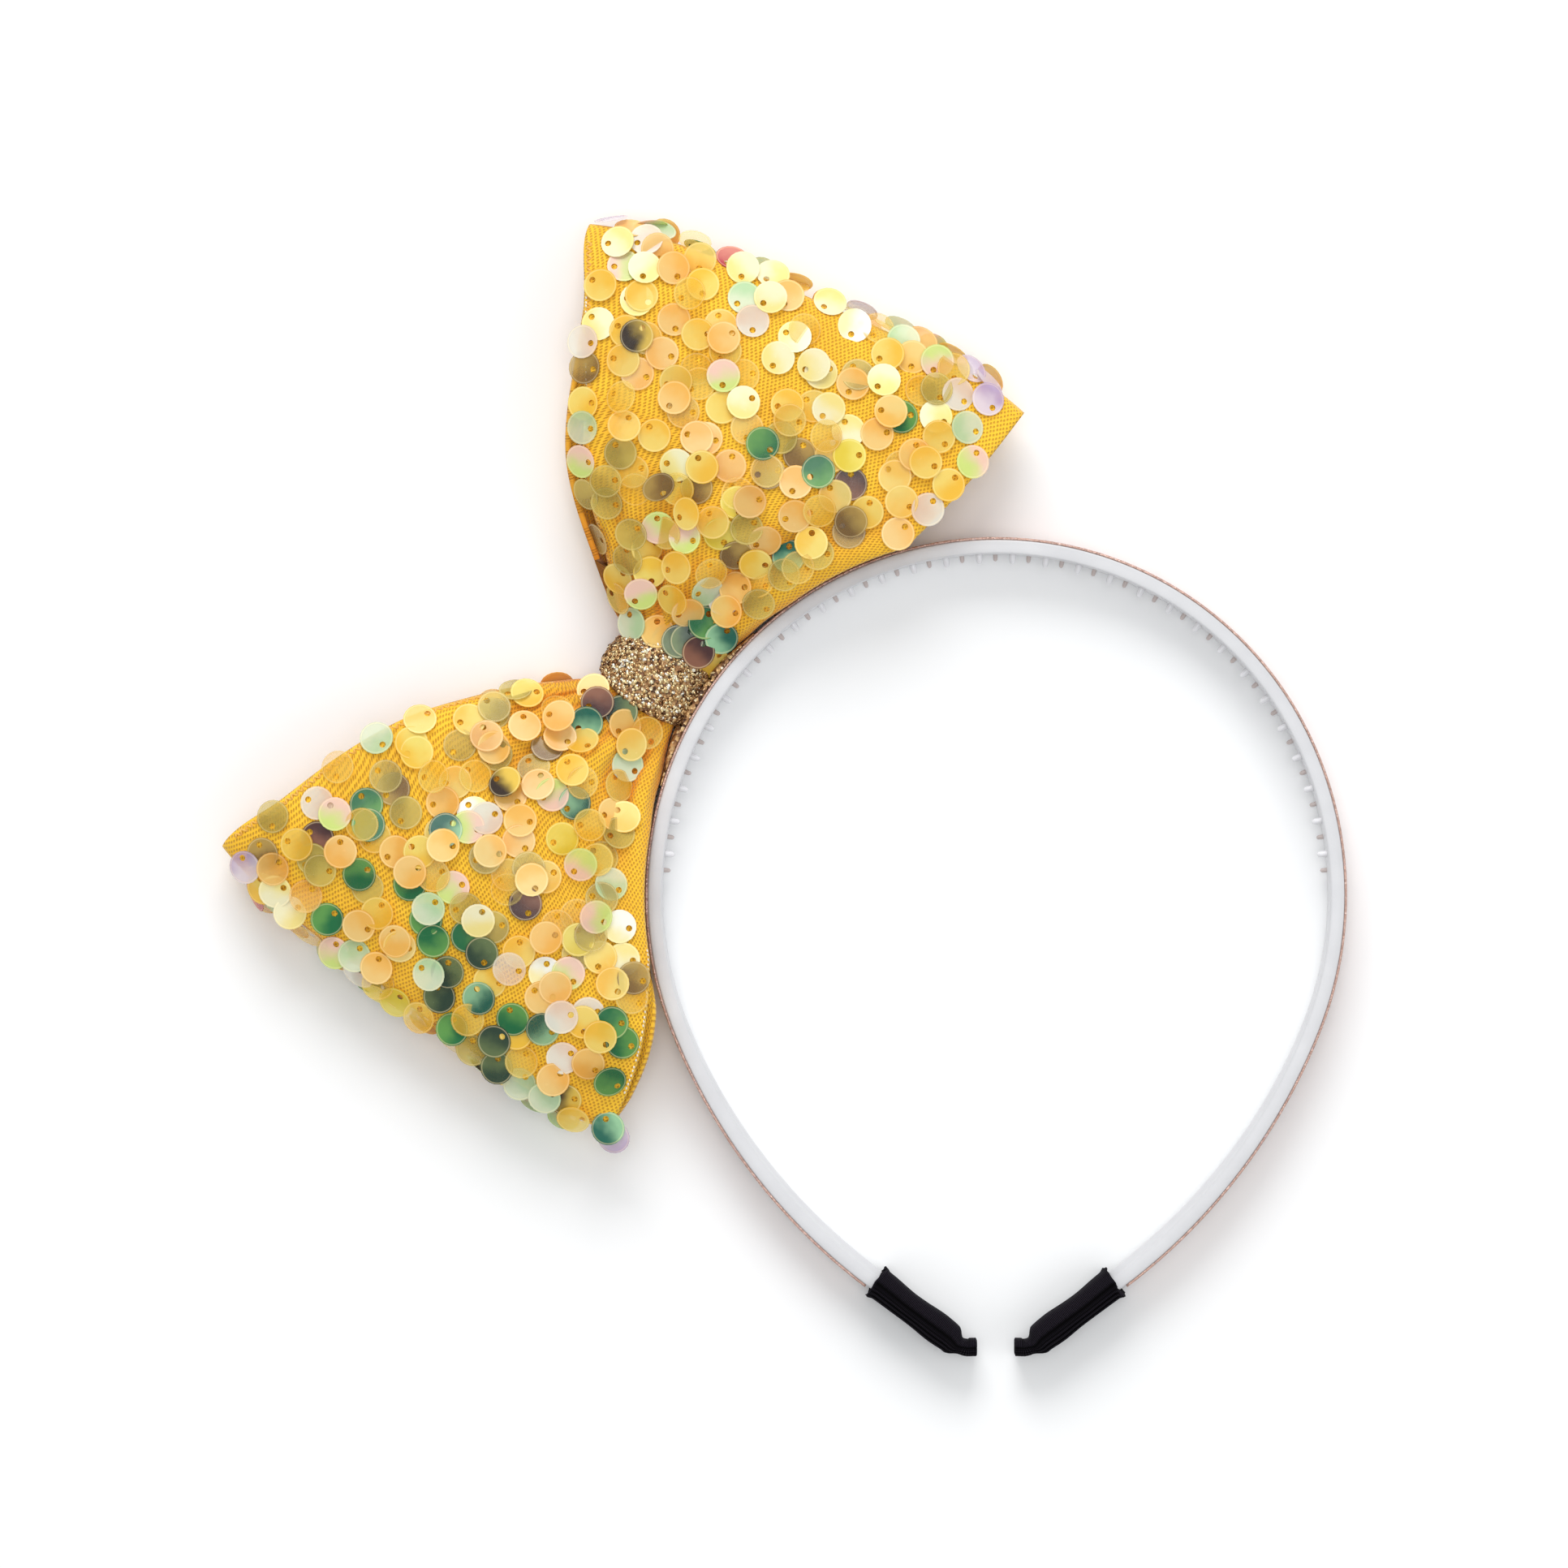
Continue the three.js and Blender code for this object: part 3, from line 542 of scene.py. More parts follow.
# %% Sleeve shape
SLEEVE_WALL, SLEEVE_CLEAR, SLEEVE_FLARE, FLARE_LENGTH = 0.7, 0.3, 0.35, 1.4
SLEEVE_START, SLEEVE_SHIFT, SLEEVE_FULL = -0.7, 0.35, 0.2
SLEEVE_SEAM, TAB_TURN, TAB_BEND, TAB_LENGTH = 3.0, math.radians(36.3), 1.6, 1.35
TAB_THICKNESS, TAB_WIDTH = 3.1, 7.4
POCKET_LENGTH = TAIL_LENGTH + SLEEVE_CLEAR
SLEEVE_BODY = POCKET_LENGTH + SLEEVE_SEAM
SLEEVE_ROUND = 120
# Grooves between the ribs: their places over half the thickness, the square of their width, and depth
GROOVE_PLACES, GROOVE_SPREAD, GROOVE_DEPTH = np.array([0.0, 0.3, 0.56, 0.8]), 0.005, 0.55
TAB_ROUND, MOUTH_ROUND = 0.3, 0.2


def sleeve_line(hand, length):
    """The sleeve's middle: straight on from the ring's line, then an arc of the bend's radius that
    turns in towards the other tip, then straight again."""
    run = np.minimum(length, SLEEVE_BODY)
    base, outward, _, heading = ring_line(hand * (MOUTH_AT + run))
    swell, _, _ = band_shape(MOUTH_AT + run)
    middle = (2 * BAND_OUTER - BAND_EDGE - swell) / 2
    turn = np.minimum((length - run) / TAB_BEND, TAB_TURN)
    past = length - run - turn * TAB_BEND
    new_heading = heading + turn
    across = TAB_BEND * (np.sin(new_heading) - np.sin(heading)) + past * np.cos(new_heading)
    down = TAB_BEND * (np.cos(heading) - np.cos(new_heading)) + past * np.sin(new_heading)
    place = base + outward * middle[:, None] - np.stack([hand * across, down], axis=1)
    return place, np.stack([-hand * np.sin(new_heading), np.cos(new_heading)], axis=1)


def sleeve_halves(length, wall):
    """Half thickness and half width: the tail's own plus the clearance, the wall and the flare at
    the mouth, going over to the tab's size past the end of the pocket."""
    swell, low, high = band_shape(MOUTH_AT + np.minimum(length, POCKET_LENGTH))
    flare = SLEEVE_FLARE * (1 - smooth((length - SLEEVE_START) / FLARE_LENGTH))
    out = (BAND_EDGE + swell) / 2 + SLEEVE_CLEAR + flare + wall
    up = (high - low) / 2 + SLEEVE_CLEAR + flare / 2 + wall
    if not wall:
        return out, up
    to_tab = smooth((length - POCKET_LENGTH - 0.5) / 2.0)
    out = out + SLEEVE_FULL + 0.25 * np.exp(-((length - 13) / 3) ** 2)
    return out + (TAB_THICKNESS / 2 - out) * to_tab, up + (TAB_WIDTH / 2 - up) * to_tab


def sleeve_ring(half_out, half_up, ribs, angles):
    """A rounded rectangle: cosine and sine to a small power, less four narrow grooves on the outer
    half of each of its two wide edges. Also gives how deep in a groove each point is."""
    cosine, sine = np.cos(angles), np.sin(angles)
    out = half_out * np.sign(cosine) * np.abs(cosine) ** 0.5
    up = half_up * np.sign(sine) * np.abs(sine) ** 0.36
    apart = (out / half_out)[..., None] - GROOVE_PLACES
    groove = np.exp(-apart ** 2 / GROOVE_SPREAD).sum(axis=-1)
    return out, up - np.sign(sine) * ribs * groove * np.abs(sine), groove * (ribs > 0.1)


def make_sleeve(name, hand):
    """One tube: up the skin from the tab to the mouth, then down the pocket round the tail."""
    skin_end = SLEEVE_BODY + TAB_BEND * TAB_TURN + TAB_LENGTH
    start = SLEEVE_START
    skin = np.concatenate([[skin_end - 0.02], np.linspace(skin_end - 0.15, start + 0.12, 90), [start]])
    pocket = np.array([start, start + 0.2, start + 1.0, 2.5, 7.0, POCKET_LENGTH - 0.3, POCKET_LENGTH])
    length = np.concatenate([skin, pocket])
    wall = np.concatenate([np.full(len(skin), SLEEVE_WALL), np.zeros(len(pocket))])
    outer_out, outer_up = sleeve_halves(length, SLEEVE_WALL)
    inner_out, inner_up = sleeve_halves(length, 0)
    half_out, half_up = np.where(wall > 0, outer_out, inner_out), np.where(wall > 0, outer_up, inner_up)
    for half in (half_out, half_up):
        half[0] -= TAB_ROUND
        half[len(skin) - 1] -= MOUTH_ROUND
    angles = np.linspace(0, 2 * np.pi, SLEEVE_ROUND, endpoint=False)[None, :] + 0 * length[:, None]
    fade = smooth((length - start) / 1.2) * (1 - 0.6 * smooth((length - 16) / 4))
    ribs = np.where(wall > 0, GROOVE_DEPTH * fade, 0)
    out, up, groove = sleeve_ring(half_out[:, None], half_up[:, None], ribs[:, None], angles)
    # The mouth is cut by hand: its edge wanders along the sleeve by a few tenths
    step_out, step_up = (np.diff(way, axis=1, append=way[:, :1]) for way in (out, up))
    around = np.cumsum(np.hypot(step_out, step_up), axis=1)
    fray = (0.3 * np.sin(around / 1.9 + 1.3 * hand) + 0.12 * np.sin(around / 0.7)
            + 0.05 * np.sin(around / 0.27 + 2))
    wander = np.clip(1 - (length - start) / 2.0, 0, 1)[:, None] * (fray + 0.3)
    spots = (length[:, None] + wander).ravel()
    place, outward = sleeve_line(hand, spots)
    past = length - POCKET_LENGTH
    shift = SLEEVE_SHIFT * (1 - smooth((past - 1.6) / 1.6)) + 0.45 * np.exp(-((past - 2.1) / 1.2) ** 2)
    shift = np.where(wall > 0, shift, 0)[:, None]
    flat = place + outward * (out + shift).ravel()[:, None]
    points = np.concatenate([flat, up.ravel()[:, None] + BAND_WIDTH / 2], axis=1)
    weave = np.stack([around.ravel(), spots], axis=1)
    return new_piece(name, points, tube_faces(len(length), SLEEVE_ROUND), black_cloth,
                     uv={"weave": weave}, shares={"groove": np.clip(groove, 0, 1).ravel()})


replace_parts(make_sleeve("sleeve_left", 1), "tip_sleeve_left")
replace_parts(make_sleeve("sleeve_right", -1), "tip_sleeve_right")

# %% [markdown]
# ## Bow cloth: its shape
# The bow is one strip of sequin cloth, gathered tightly in the middle, with its ends folded back to
# the knot behind. Each loop is therefore a flattened tube: a front wall, a soft fold at the far end,
# and a back wall. The shape is a function of the place along the loop and across it, and pleats are
# added as soft valleys that fan out from the knot and fade. A simulation would have to find again
# the folds that the photograph shows, so they are written down here instead.

# %% Bow cloth sizes
BOW_TURN = math.radians(60.0)
BOW_AT = CROWN_RADIUS * math.radians(58.6)
BOW_DEPTH, BOW_LIFT = 19.5, 0.6
FAR_REACH, FAR_HEIGHT, NEAR_REACH, NEAR_DROP = 64.3, 60.6, 73.8, 24.3
NEAR_BULGE, FOLD_BULGE = {1: 0.8, -1: 2.3}, {1: 3.6, -1: 3.0}
NECK_LOW, NECK_HEIGHT, NECK_DEPTH = 1.9, 15.5, 8.8
NECK_MIDDLE = BOW_LIFT + 1.6 + NECK_DEPTH / 2
NECK_HOLD, PLEAT_START, PLEAT_DEPTH, GATHER_COUNT = 0.06, 0.095, 4.2, 7
# The near edge follows the band over this share of the loop and this length, at this clearance, and
# the front wall leans in by this much
HUG_SHARE, HUG_LENGTH, HUG_CLEAR, HUG_LEAN = 0.6, 47.0, 0.5, 0.55
FAR_EDGES = {
    1: ((0, 0.06, 0.12, 0.21, 0.31, 0.4, 0.5, 0.65, 0.82, 1),
        (0, 0, 0.12, 0.28, 0.45, 0.57, 0.655, 0.745, 0.845, 0.97)),
    -1: ((0, 0.06, 0.12, 0.19, 0.31, 0.43, 0.6, 0.8, 1),
         (0, 0, 0.11, 0.25, 0.44, 0.6, 0.75, 0.88, 1)),
}
SWELL_PLACES = (0, 0.095, 0.24, 0.42, 0.62, 0.85, 1)
FRONT_SWELL = (0, 0, 0.48, 0.84, 1, 0.9, 0.72)
BACK_SWELL = (0, 0, 0.6, 1, 1, 1, 1)
# Pleats of each loop: place across, drift by the loop's end, width, depth and reach
FRONT_PLEATS = {
    1: ((0.62, -0.02, 0.06, 1.0, 0.62), (0.36, -0.4, 0.07, 0.95, 0.85),
        (0.48, -0.05, 0.07, -0.45, 0.7), (0.82, 0.02, 0.06, 0.4, 0.5)),
    -1: ((0.33, -0.5, 0.07, 1.0, 0.6), (0.5, 0.35, 0.06, 0.85, 0.6),
         (0.33, 0.3, 0.07, -0.5, 0.95), (0.8, 0.05, 0.06, 0.45, 0.5), (0.16, 0.0, 0.03, 0.5, 0.55)),
}
BACK_PLEATS = ((0.3, -0.1, 0.08, 0.5, 0.5), (0.6, 0.1, 0.08, 0.5, 0.5))
bow_seat = ring_line(BOW_AT)[0]
BOW_COSINE, BOW_SINE = math.cos(BOW_TURN), math.sin(BOW_TURN)


def from_bow(points):
    """Turns the bow's own frame, with X along its loops and Y away from the band, onto the ring."""
    x = points[..., 0] * BOW_COSINE - points[..., 1] * BOW_SINE + bow_seat[0]
    y = points[..., 0] * BOW_SINE + points[..., 1] * BOW_COSINE + bow_seat[1]
    return np.stack([x, y, points[..., 2]], axis=-1)


def into_bow(places):
    """The same turn the other way: X and Y in the bow's own frame of places on the ring."""
    offset = places - bow_seat
    return (offset[..., 0] * BOW_COSINE + offset[..., 1] * BOW_SINE,
            offset[..., 1] * BOW_COSINE - offset[..., 0] * BOW_SINE)


# %% Bow cloth surface
def near_edge(side, along, front=False):
    """Follows the band's outer face for three fifths of the loop, then leaves it for the near corner
    with a slight outward bulge. The front wall stands higher than the band, and leans against its edge."""
    hug = np.minimum(along / HUG_SHARE, 1)
    lift = HUG_CLEAR + (NECK_LOW - HUG_CLEAR) * (1 - smooth((along - NECK_HOLD) / 0.14))
    lift = lift - np.where(front, HUG_LEAN, 0) * smooth((along - 0.22) / 0.1)
    place, outward, _, _ = ring_line(BOW_AT - side * HUG_LENGTH * hug)
    x, y = into_bow(place + outward * lift[..., None])
    free = np.maximum((along - HUG_SHARE) / (1 - HUG_SHARE), 0)
    x = x + (side * NEAR_REACH - x) * free
    return x, y + (-NEAR_DROP - y) * free - NEAR_BULGE[side] * np.sin(np.pi * free)


def far_edge(side, along):
    """Runs evenly out to the far corner, and rises from the neck's top by the table of far edges."""
    neck_top = NECK_LOW + NECK_HEIGHT
    rise_share = curve_through(*FAR_EDGES[side], along)
    return side * FAR_REACH * along, neck_top + (FAR_HEIGHT - neck_top) * rise_share


def pleat_depth(rows, along, across):
    """Sum of bell curves across the cloth, which start past the knot and fade by each one's reach."""
    start = smooth((along - PLEAT_START) / 0.18)
    return sum(depth * np.exp(-((across - at - drift * along) / width) ** 2) * start
               * (1 - smooth(along / reach)) for at, drift, width, depth, reach in rows)


def cloth_point(side, front, along, across):
    """A point of the cloth's outside. Along runs from the neck (0) to the fold (1), across from the
    band (0) to the far edge (1). The outline lies between the two edges, and the height is the
    middle of the loop plus or minus half its thickness, less the pleats and the small gathers."""
    near_x, near_y = near_edge(side, along, front)
    far_x, far_y = far_edge(side, along)
    bulge = side * FOLD_BULGE[side] * (1 - np.abs(2 * across - 1) ** 4) * along ** 4
    x = near_x + (far_x - near_x) * across + bulge
    y = near_y + (far_y - near_y) * across
    # One wall shows past the other: behind the upper loop's far edge and the lower loop's near edge
    curl = 0.0
    if side > 0:
        past = 3.8 * smooth((0.87 - along) / 0.4) * smooth(along / 0.3)
        y = y - np.where(front, past, 0) * smooth((across - 0.6) / 0.4)
        curl = 1.6 * past * smooth((across - 0.8) / 0.2)
    else:
        past = 2.2 * smooth((along - 0.585) / 0.12) - 1.4 * smooth((along - 0.72) / 0.25)
        past = np.where(front, 0, past) * (1 - smooth((along - 0.9) / 0.1)) * smooth((0.3 - across) / 0.3)
        y, curl = y - past, 4.6 * past
    top, bottom = NECK_MIDDLE + NECK_DEPTH / 2, NECK_MIDDLE - NECK_DEPTH / 2
    high = top + (BOW_LIFT + BOW_DEPTH - top) * curve_through(SWELL_PLACES, FRONT_SWELL, along)
    low = bottom + (BOW_LIFT - bottom) * curve_through(SWELL_PLACES, BACK_SWELL, along)
    edge = 0.18 + (0.72 - 0.18) * smooth((along - NECK_HOLD) / 0.4)
    crown = edge + (1 - edge) * np.sqrt(np.maximum(1 - (2 * across - 1) ** 2, 0))
    half = (high - low) / 2 * crown * np.maximum(1 - along ** 4.5, 0) ** (1 / 4.5)
    gathers = np.cos(2 * np.pi * GATHER_COUNT * across) * smooth((along - PLEAT_START) / 0.1)
    ripple = 0.55 * gathers * (1 - smooth(along / 0.5)) + creases(along, across)
    raised = half - PLEAT_DEPTH * pleat_depth(FRONT_PLEATS[side], along, across) - ripple
    lowered = PLEAT_DEPTH * pleat_depth(BACK_PLEATS, along, across) + ripple * 0.5 - half + curl
    height = np.maximum((high + low) / 2 + np.where(front, raised, lowered), BOW_LIFT)
    return from_bow(np.stack([x, y, height], axis=-1))


def wave(turns):
    """The sine of a number of whole turns."""
    return np.sin(2 * np.pi * turns)


def creases(along, across):
    """Fine creases beside the knot and a slight unevenness everywhere, from a few mixed waves."""
    near_knot = smooth((along - PLEAT_START) / 0.06) * (1 - smooth((along - 0.1) / 0.3))
    fine = wave(11 * across + 0.8 * along) + wave(17 * across - 1.3 * along + 0.3)
    waves = wave(1.7 * along + 0.9 * across) * wave(2.3 * across - 0.6 * along + 0.2)
    open_loop = smooth((along - 0.2) / 0.2) * (1 - smooth((along - 0.85) / 0.15))
    return 0.22 * fine * near_knot + 0.3 * waves * open_loop


# %% [markdown]
# ## Bow cloth: its mesh
# The outside grid runs from the neck along the front wall, round the fold and back along the back
# wall. The inside is the same grid moved in along its own normals by the cloth's thickness. Rims join
# the two along the open sides. Beside the neck the two walls are gathered into one, so the inside
# starts a little way out, and there the front edge is joined straight to the back edge.

# %% Bow cloth grid
CLOTH_WALL, HOLLOW_START = 1.0, 0.2
CLOTH_ROWS, CLOTH_COLUMNS = 84, 76


def cloth_places():
    """Rows close together near the fold and beside the knot, columns close near both edges."""
    share = np.linspace(0, 1, CLOTH_ROWS)
    rows = 0.5 * share + 0.5 * np.sin(np.pi / 2 * share)
    return rows, ease_ends(np.linspace(0, 1, CLOTH_COLUMNS), 0.5)


def cloth_grid(side):
    """Places along and across, whether each is on the front wall, and the points of the outside."""
    rows, columns = cloth_places()
    along = np.concatenate([rows, rows[-2::-1]])
    front = np.concatenate([np.ones(len(rows), bool), np.zeros(len(rows) - 1, bool)])
    along, across = np.meshgrid(along, columns, indexing="ij")
    front = np.broadcast_to(front[:, None], along.shape)
    return along, across, front, cloth_point(side, front, along, across)


def surface_normals(grid, side):
    """The cross product of the steps along the two ways of the grid, made one long."""
    normal = np.cross(np.gradient(grid, axis=0), np.gradient(grid, axis=1)) * side
    return normal / np.maximum(np.linalg.norm(normal, axis=2, keepdims=True), 1e-9)


def strip_faces(first, second):
    """Faces between two rows of points of equal length."""
    return np.stack([first[:-1], first[1:], second[1:], second[:-1]], axis=1)


def loop_faces(rows, start):
    """Outer grid, inner grid from the hollow's start, rims along both open sides, and the seams that
    join front to back beside the neck."""
    columns = CLOTH_COLUMNS
    outer = np.arange(rows * columns).reshape(rows, columns)
    inner = outer + rows * columns
    back = rows - 1 - start
    faces = [grid_faces(rows, columns)]
    hollow = inner[start:back + 1]
    hollow_corners = [hollow[:-1, :-1], hollow[1:, :-1], hollow[1:, 1:], hollow[:-1, 1:]]
    faces.append(np.stack(hollow_corners, axis=2).reshape(-1, 4))
    faces.append(strip_faces(inner[start], inner[back]))
    for edge, turned in ((0, False), (columns - 1, True)):
        rim = strip_faces(inner[start:back + 1, edge], outer[start:back + 1, edge])
        seam = strip_faces(outer[back:, edge][::-1], outer[:start + 1, edge])
        corner = np.array([[outer[start, edge], outer[back, edge], inner[back, edge], inner[start, edge]]])
        for strip in (rim, seam, corner):
            faces.append(strip if turned else strip[:, ::-1])
    return faces


print("rows and columns of a loop's walls:", 2 * CLOTH_ROWS - 1, CLOTH_COLUMNS)

# %% [markdown]
# ## Bow cloth: its finish
# The cloth is a golden yellow net-like knit with tiny holes in slanting rows, and down in the folds
# it is painted a deeper, more orange yellow as shade. The weave lies on a map in millimetres that
# follows the cloth, so the holes keep their size round the folds. The painted shade of each point,
# from its pleat and fold, is kept on the mesh, and deepens the colour there.

# %% Bow cloth finish
yellow_knit = plain_finish("yellow_knit", paint("#F2B01E"), 0.72)
knit_place = add_node(yellow_knit, "Mapping", {
    "Vector": add_node(yellow_knit, "UVMap", uv_map="weave").outputs[0],
    "Scale": (1 / 0.8, 1 / 1.15, 1), "Rotation": (0, 0, math.pi / 4)})
knit_holes = add_node(yellow_knit, "TexVoronoi", {
    "Vector": knit_place.outputs[0], "Scale": math.sqrt(2), "Randomness": 0.16},
    voronoi_dimensions="2D").outputs["Distance"]
knit_hole = calculate(yellow_knit, "SUBTRACT", 1.0, rise(yellow_knit, knit_holes, 0.12, 0.4))
knit_cloud = rise(yellow_knit, noise(yellow_knit, 110.0, 3.0), 0.3, 0.75)
# Painted shade: the fold share turns the yellow deeper and more orange in the folds, on top of a random cloud
# of tone
knit_tone_and_fold_shade = calculate(yellow_knit, "MULTIPLY_ADD", knit_cloud, 0.25, read_share(yellow_knit, "fold"))
knit_base = mix_colors(yellow_knit, knit_tone_and_fold_shade, paint("#FFC92A"), paint("#E38A0E"))
knit_color = mix_colors(yellow_knit, calculate(yellow_knit, "MULTIPLY", knit_hole, 0.62),
                        knit_base, paint("#C07A08"))
dress(yellow_knit, {
    "Base Color": knit_color,
    "Sheen Weight": 0.2,
    "Sheen Roughness": 0.4,
}, calculate(yellow_knit, "SUBTRACT", 1.0, knit_hole), 0.00015)

# %% Bow cloth
WEAVE_APART = 500
cloth_points, cloth_faces, cloth_weave, cloth_fold_shade = [], [], [], []
loop_area = {}
for side in (1, -1):
    along, across, front, outside = cloth_grid(side)
    normals = surface_normals(outside, side)
    rows = outside.shape[0]
    start = int(np.searchsorted(cloth_places()[0], HOLLOW_START))
    first = sum(len(points) for points in cloth_points)
    step_along = np.linalg.norm(np.diff(outside, axis=0, prepend=outside[:1]), axis=2)
    step_across = np.linalg.norm(np.diff(outside, axis=1, prepend=outside[:, :1]), axis=2)
    weave = np.stack([np.cumsum(step_across, axis=1),
                      np.cumsum(step_along, axis=0) + WEAVE_APART * side], axis=2)
    # Painted shade, by how deep in a fold each point lies: in a pleat in front, everywhere behind, and beside
    # the knot
    fold = PLEAT_DEPTH / 3.0 * np.clip(pleat_depth(FRONT_PLEATS[side], along, across), 0, 1)
    fold = np.where(front, fold, 0.3 * smooth((across - 0.08) / 0.1))
    fold = fold + 0.4 * (1 - smooth((along - 0.08) / 0.25))
    # More painted shade in the gathers beside the knot
    gather = np.clip(np.cos(2 * np.pi * GATHER_COUNT * across), 0, 1)
    fold = fold + 0.6 * gather * (1 - smooth(along / 0.6))
    inside = outside - normals * CLOTH_WALL
    cloth_points.append(np.concatenate([outside.reshape(-1, 3), inside.reshape(-1, 3)]))
    # The upper loop's grid runs the other way round, so its faces are turned
    cloth_faces.extend(group[:, ::-side] + first for group in loop_faces(rows, start))
    cloth_weave.append(np.tile(weave.reshape(-1, 2), (2, 1)))
    cloth_fold_shade.append(np.tile(fold.ravel(), 2))
    loop_area[side] = float((step_along[1:, 1:] * step_across[1:, 1:]).sum())


def drop_unused(points, faces, *tables):
    """Leaves out the points that no face uses, and counts the faces' corners again."""
    used, again = np.unique(np.concatenate([group.ravel() for group in faces]), return_inverse=True)
    cuts = np.cumsum([group.size for group in faces])[:-1]
    fresh = [part.reshape(group.shape) for part, group in zip(np.split(again, cuts), faces)]
    return points[used], fresh, [table[used] for table in tables]


cloth_all, cloth_faces, (cloth_weave, cloth_fold_shade) = drop_unused(
    np.concatenate(cloth_points), cloth_faces, np.concatenate(cloth_weave), np.concatenate(cloth_fold_shade))
# The fold share carries the painted shade to the finish
bow_cloth = new_piece("bow_cloth", cloth_all, cloth_faces, yellow_knit,
                      uv={"weave": cloth_weave}, shares={"fold": cloth_fold_shade})
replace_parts(bow_cloth, "bow")
print("outside of the two loops, mm2:", loop_area)

# %% [markdown]
# ## Sequins: where they sit
# The cloth is sewn all over with thin round sequins, each hanging by one off-centre hole, so they
# overlap like loose scales and each lies at its own slight tilt. Their places are drawn from a seeded
# random spread over both walls: a place is kept if it is far enough from those already kept. A strip
# of cloth beside the band and the sewn edges stay bare, and a few sequins crowd beside the knot.

# %% Sequin places
# The least distance between the holes of two sequins, on the front wall and on the back wall
SEQUIN_GAP = {True: 3.85, False: 4.9}
chance = np.random.default_rng(41)
# Sequins that crowd beside the knot or hang over an edge: places along and across, and colour
CROWDED_SPOTS = {
    1: ((0.112, 0.9, "mint"), (0.128, 0.62, "amber"), (0.118, 0.5, "slate"), (0.13, 0.41, "slate"),
        (0.142, 0.33, "slate"), (0.155, 0.25, "slate"), (0.13, 0.2, "umber"), (0.2, 0.27, "green"),
        (0.185, 0.12, "teal"), (0.12, 0.04, "gold"), (0.26, 0.985, "bronze"), (0.34, 0.98, "khaki"),
        (0.42, 0.985, "opal"), (0.5, 0.98, "mint"), (0.56, 0.985, "gold"), (0.64, 0.98, "bronze"),
        (0.7, 0.985, "pearl"), (0.64, 0.035, "peach"), (0.72, 0.03, "pearl"), (0.79, 0.03, "gold"),
        (0.86, 0.028, "opal"), (0.9, 0.06, "mint")),
    -1: ((0.125, 0.86, "peach"), (0.15, 0.7, "umber"), (0.135, 0.52, "slate"), (0.16, 0.4, "amber"),
         (0.19, 0.3, "gold"), (0.21, 0.58, "teal"), (0.97, 0.018, "teal"), (0.985, 0.0, "lilac"),
         (0.24, 0.96, "khaki"), (0.4, 0.965, "gold"), (0.52, 0.96, "mint"), (0.66, 0.965, "clear"),
         (0.76, 0.96, "pearl"), (0.86, 0.965, "khaki")),
}


def bare_cloth(side, along, across):
    """True on the sewn edges, and on the lower loop's bare strip that runs from the knot by the band."""
    if side > 0:
        return (across < 0.045 + 0.02 * smooth((along - 0.94) / 0.03)) | (across > 0.985)
    return (across < 0.15 - 0.13 * smooth((along - 0.35) / 0.25)) | (across > 0.95)


def loop_spots(side, front, tries):
    """Random places, closer together near the fold, where the cloth is steep. Each is weighed by the
    size of the surface there, and those that are left are thinned to the gap."""
    share = chance.uniform(0, 1, tries)
    along = np.where(np.arange(tries) % 2, 0.13 + 0.865 * share, 1 - 0.13 * share ** 2)
    across = chance.uniform(0.0, 1.0, tries)
    crowding = 0.5 / 0.865 + np.where(along > 0.87, 0.25 / np.sqrt(0.13 * np.maximum(1 - along, 1e-4)), 0)
    here = cloth_point(side, front, along, across)
    area = np.linalg.norm(np.cross(cloth_point(side, front, along - 0.002, across) - here,
                                   cloth_point(side, front, along, across * 0.996 + 0.002) - here), axis=1)
    weight = area / np.maximum(np.abs(0.5 - across), 0.05) / crowding
    kept_by_area = chance.uniform(0, 1, tries) < weight / np.quantile(weight, 0.95)
    picked = kept_by_area & ~bare_cloth(side, along, across)
    if not front:
        picked &= (across > 0.08) & (across < 0.9)
    noted = np.array([spot[:2] for spot in CROWDED_SPOTS[side]]) if front else np.zeros((0, 2))
    along, across = np.append(noted[:, 0], along[picked]), np.append(noted[:, 1], across[picked])
    here = cloth_point(side, front, along, across)
    kept = list(range(len(noted)))
    for k in range(len(noted), len(here)):
        if not kept or np.min(np.linalg.norm(here[kept] - here[k], axis=1)) > SEQUIN_GAP[front]:
            kept.append(k)
    return along[kept], across[kept]


sequin_spots = []
for side in (1, -1):
    for front in (True, False):
        spot_along, spot_across = loop_spots(side, front, 16000)
        sequin_spots.append(np.stack([np.full(len(spot_along), side), np.full(len(spot_along), front),
                                      spot_along, spot_across], axis=1))
        print("sequins on loop", side, "front" if front else "back", len(spot_along))
sequin_spots = np.concatenate(sequin_spots)
SEQUIN_COUNT = len(sequin_spots)

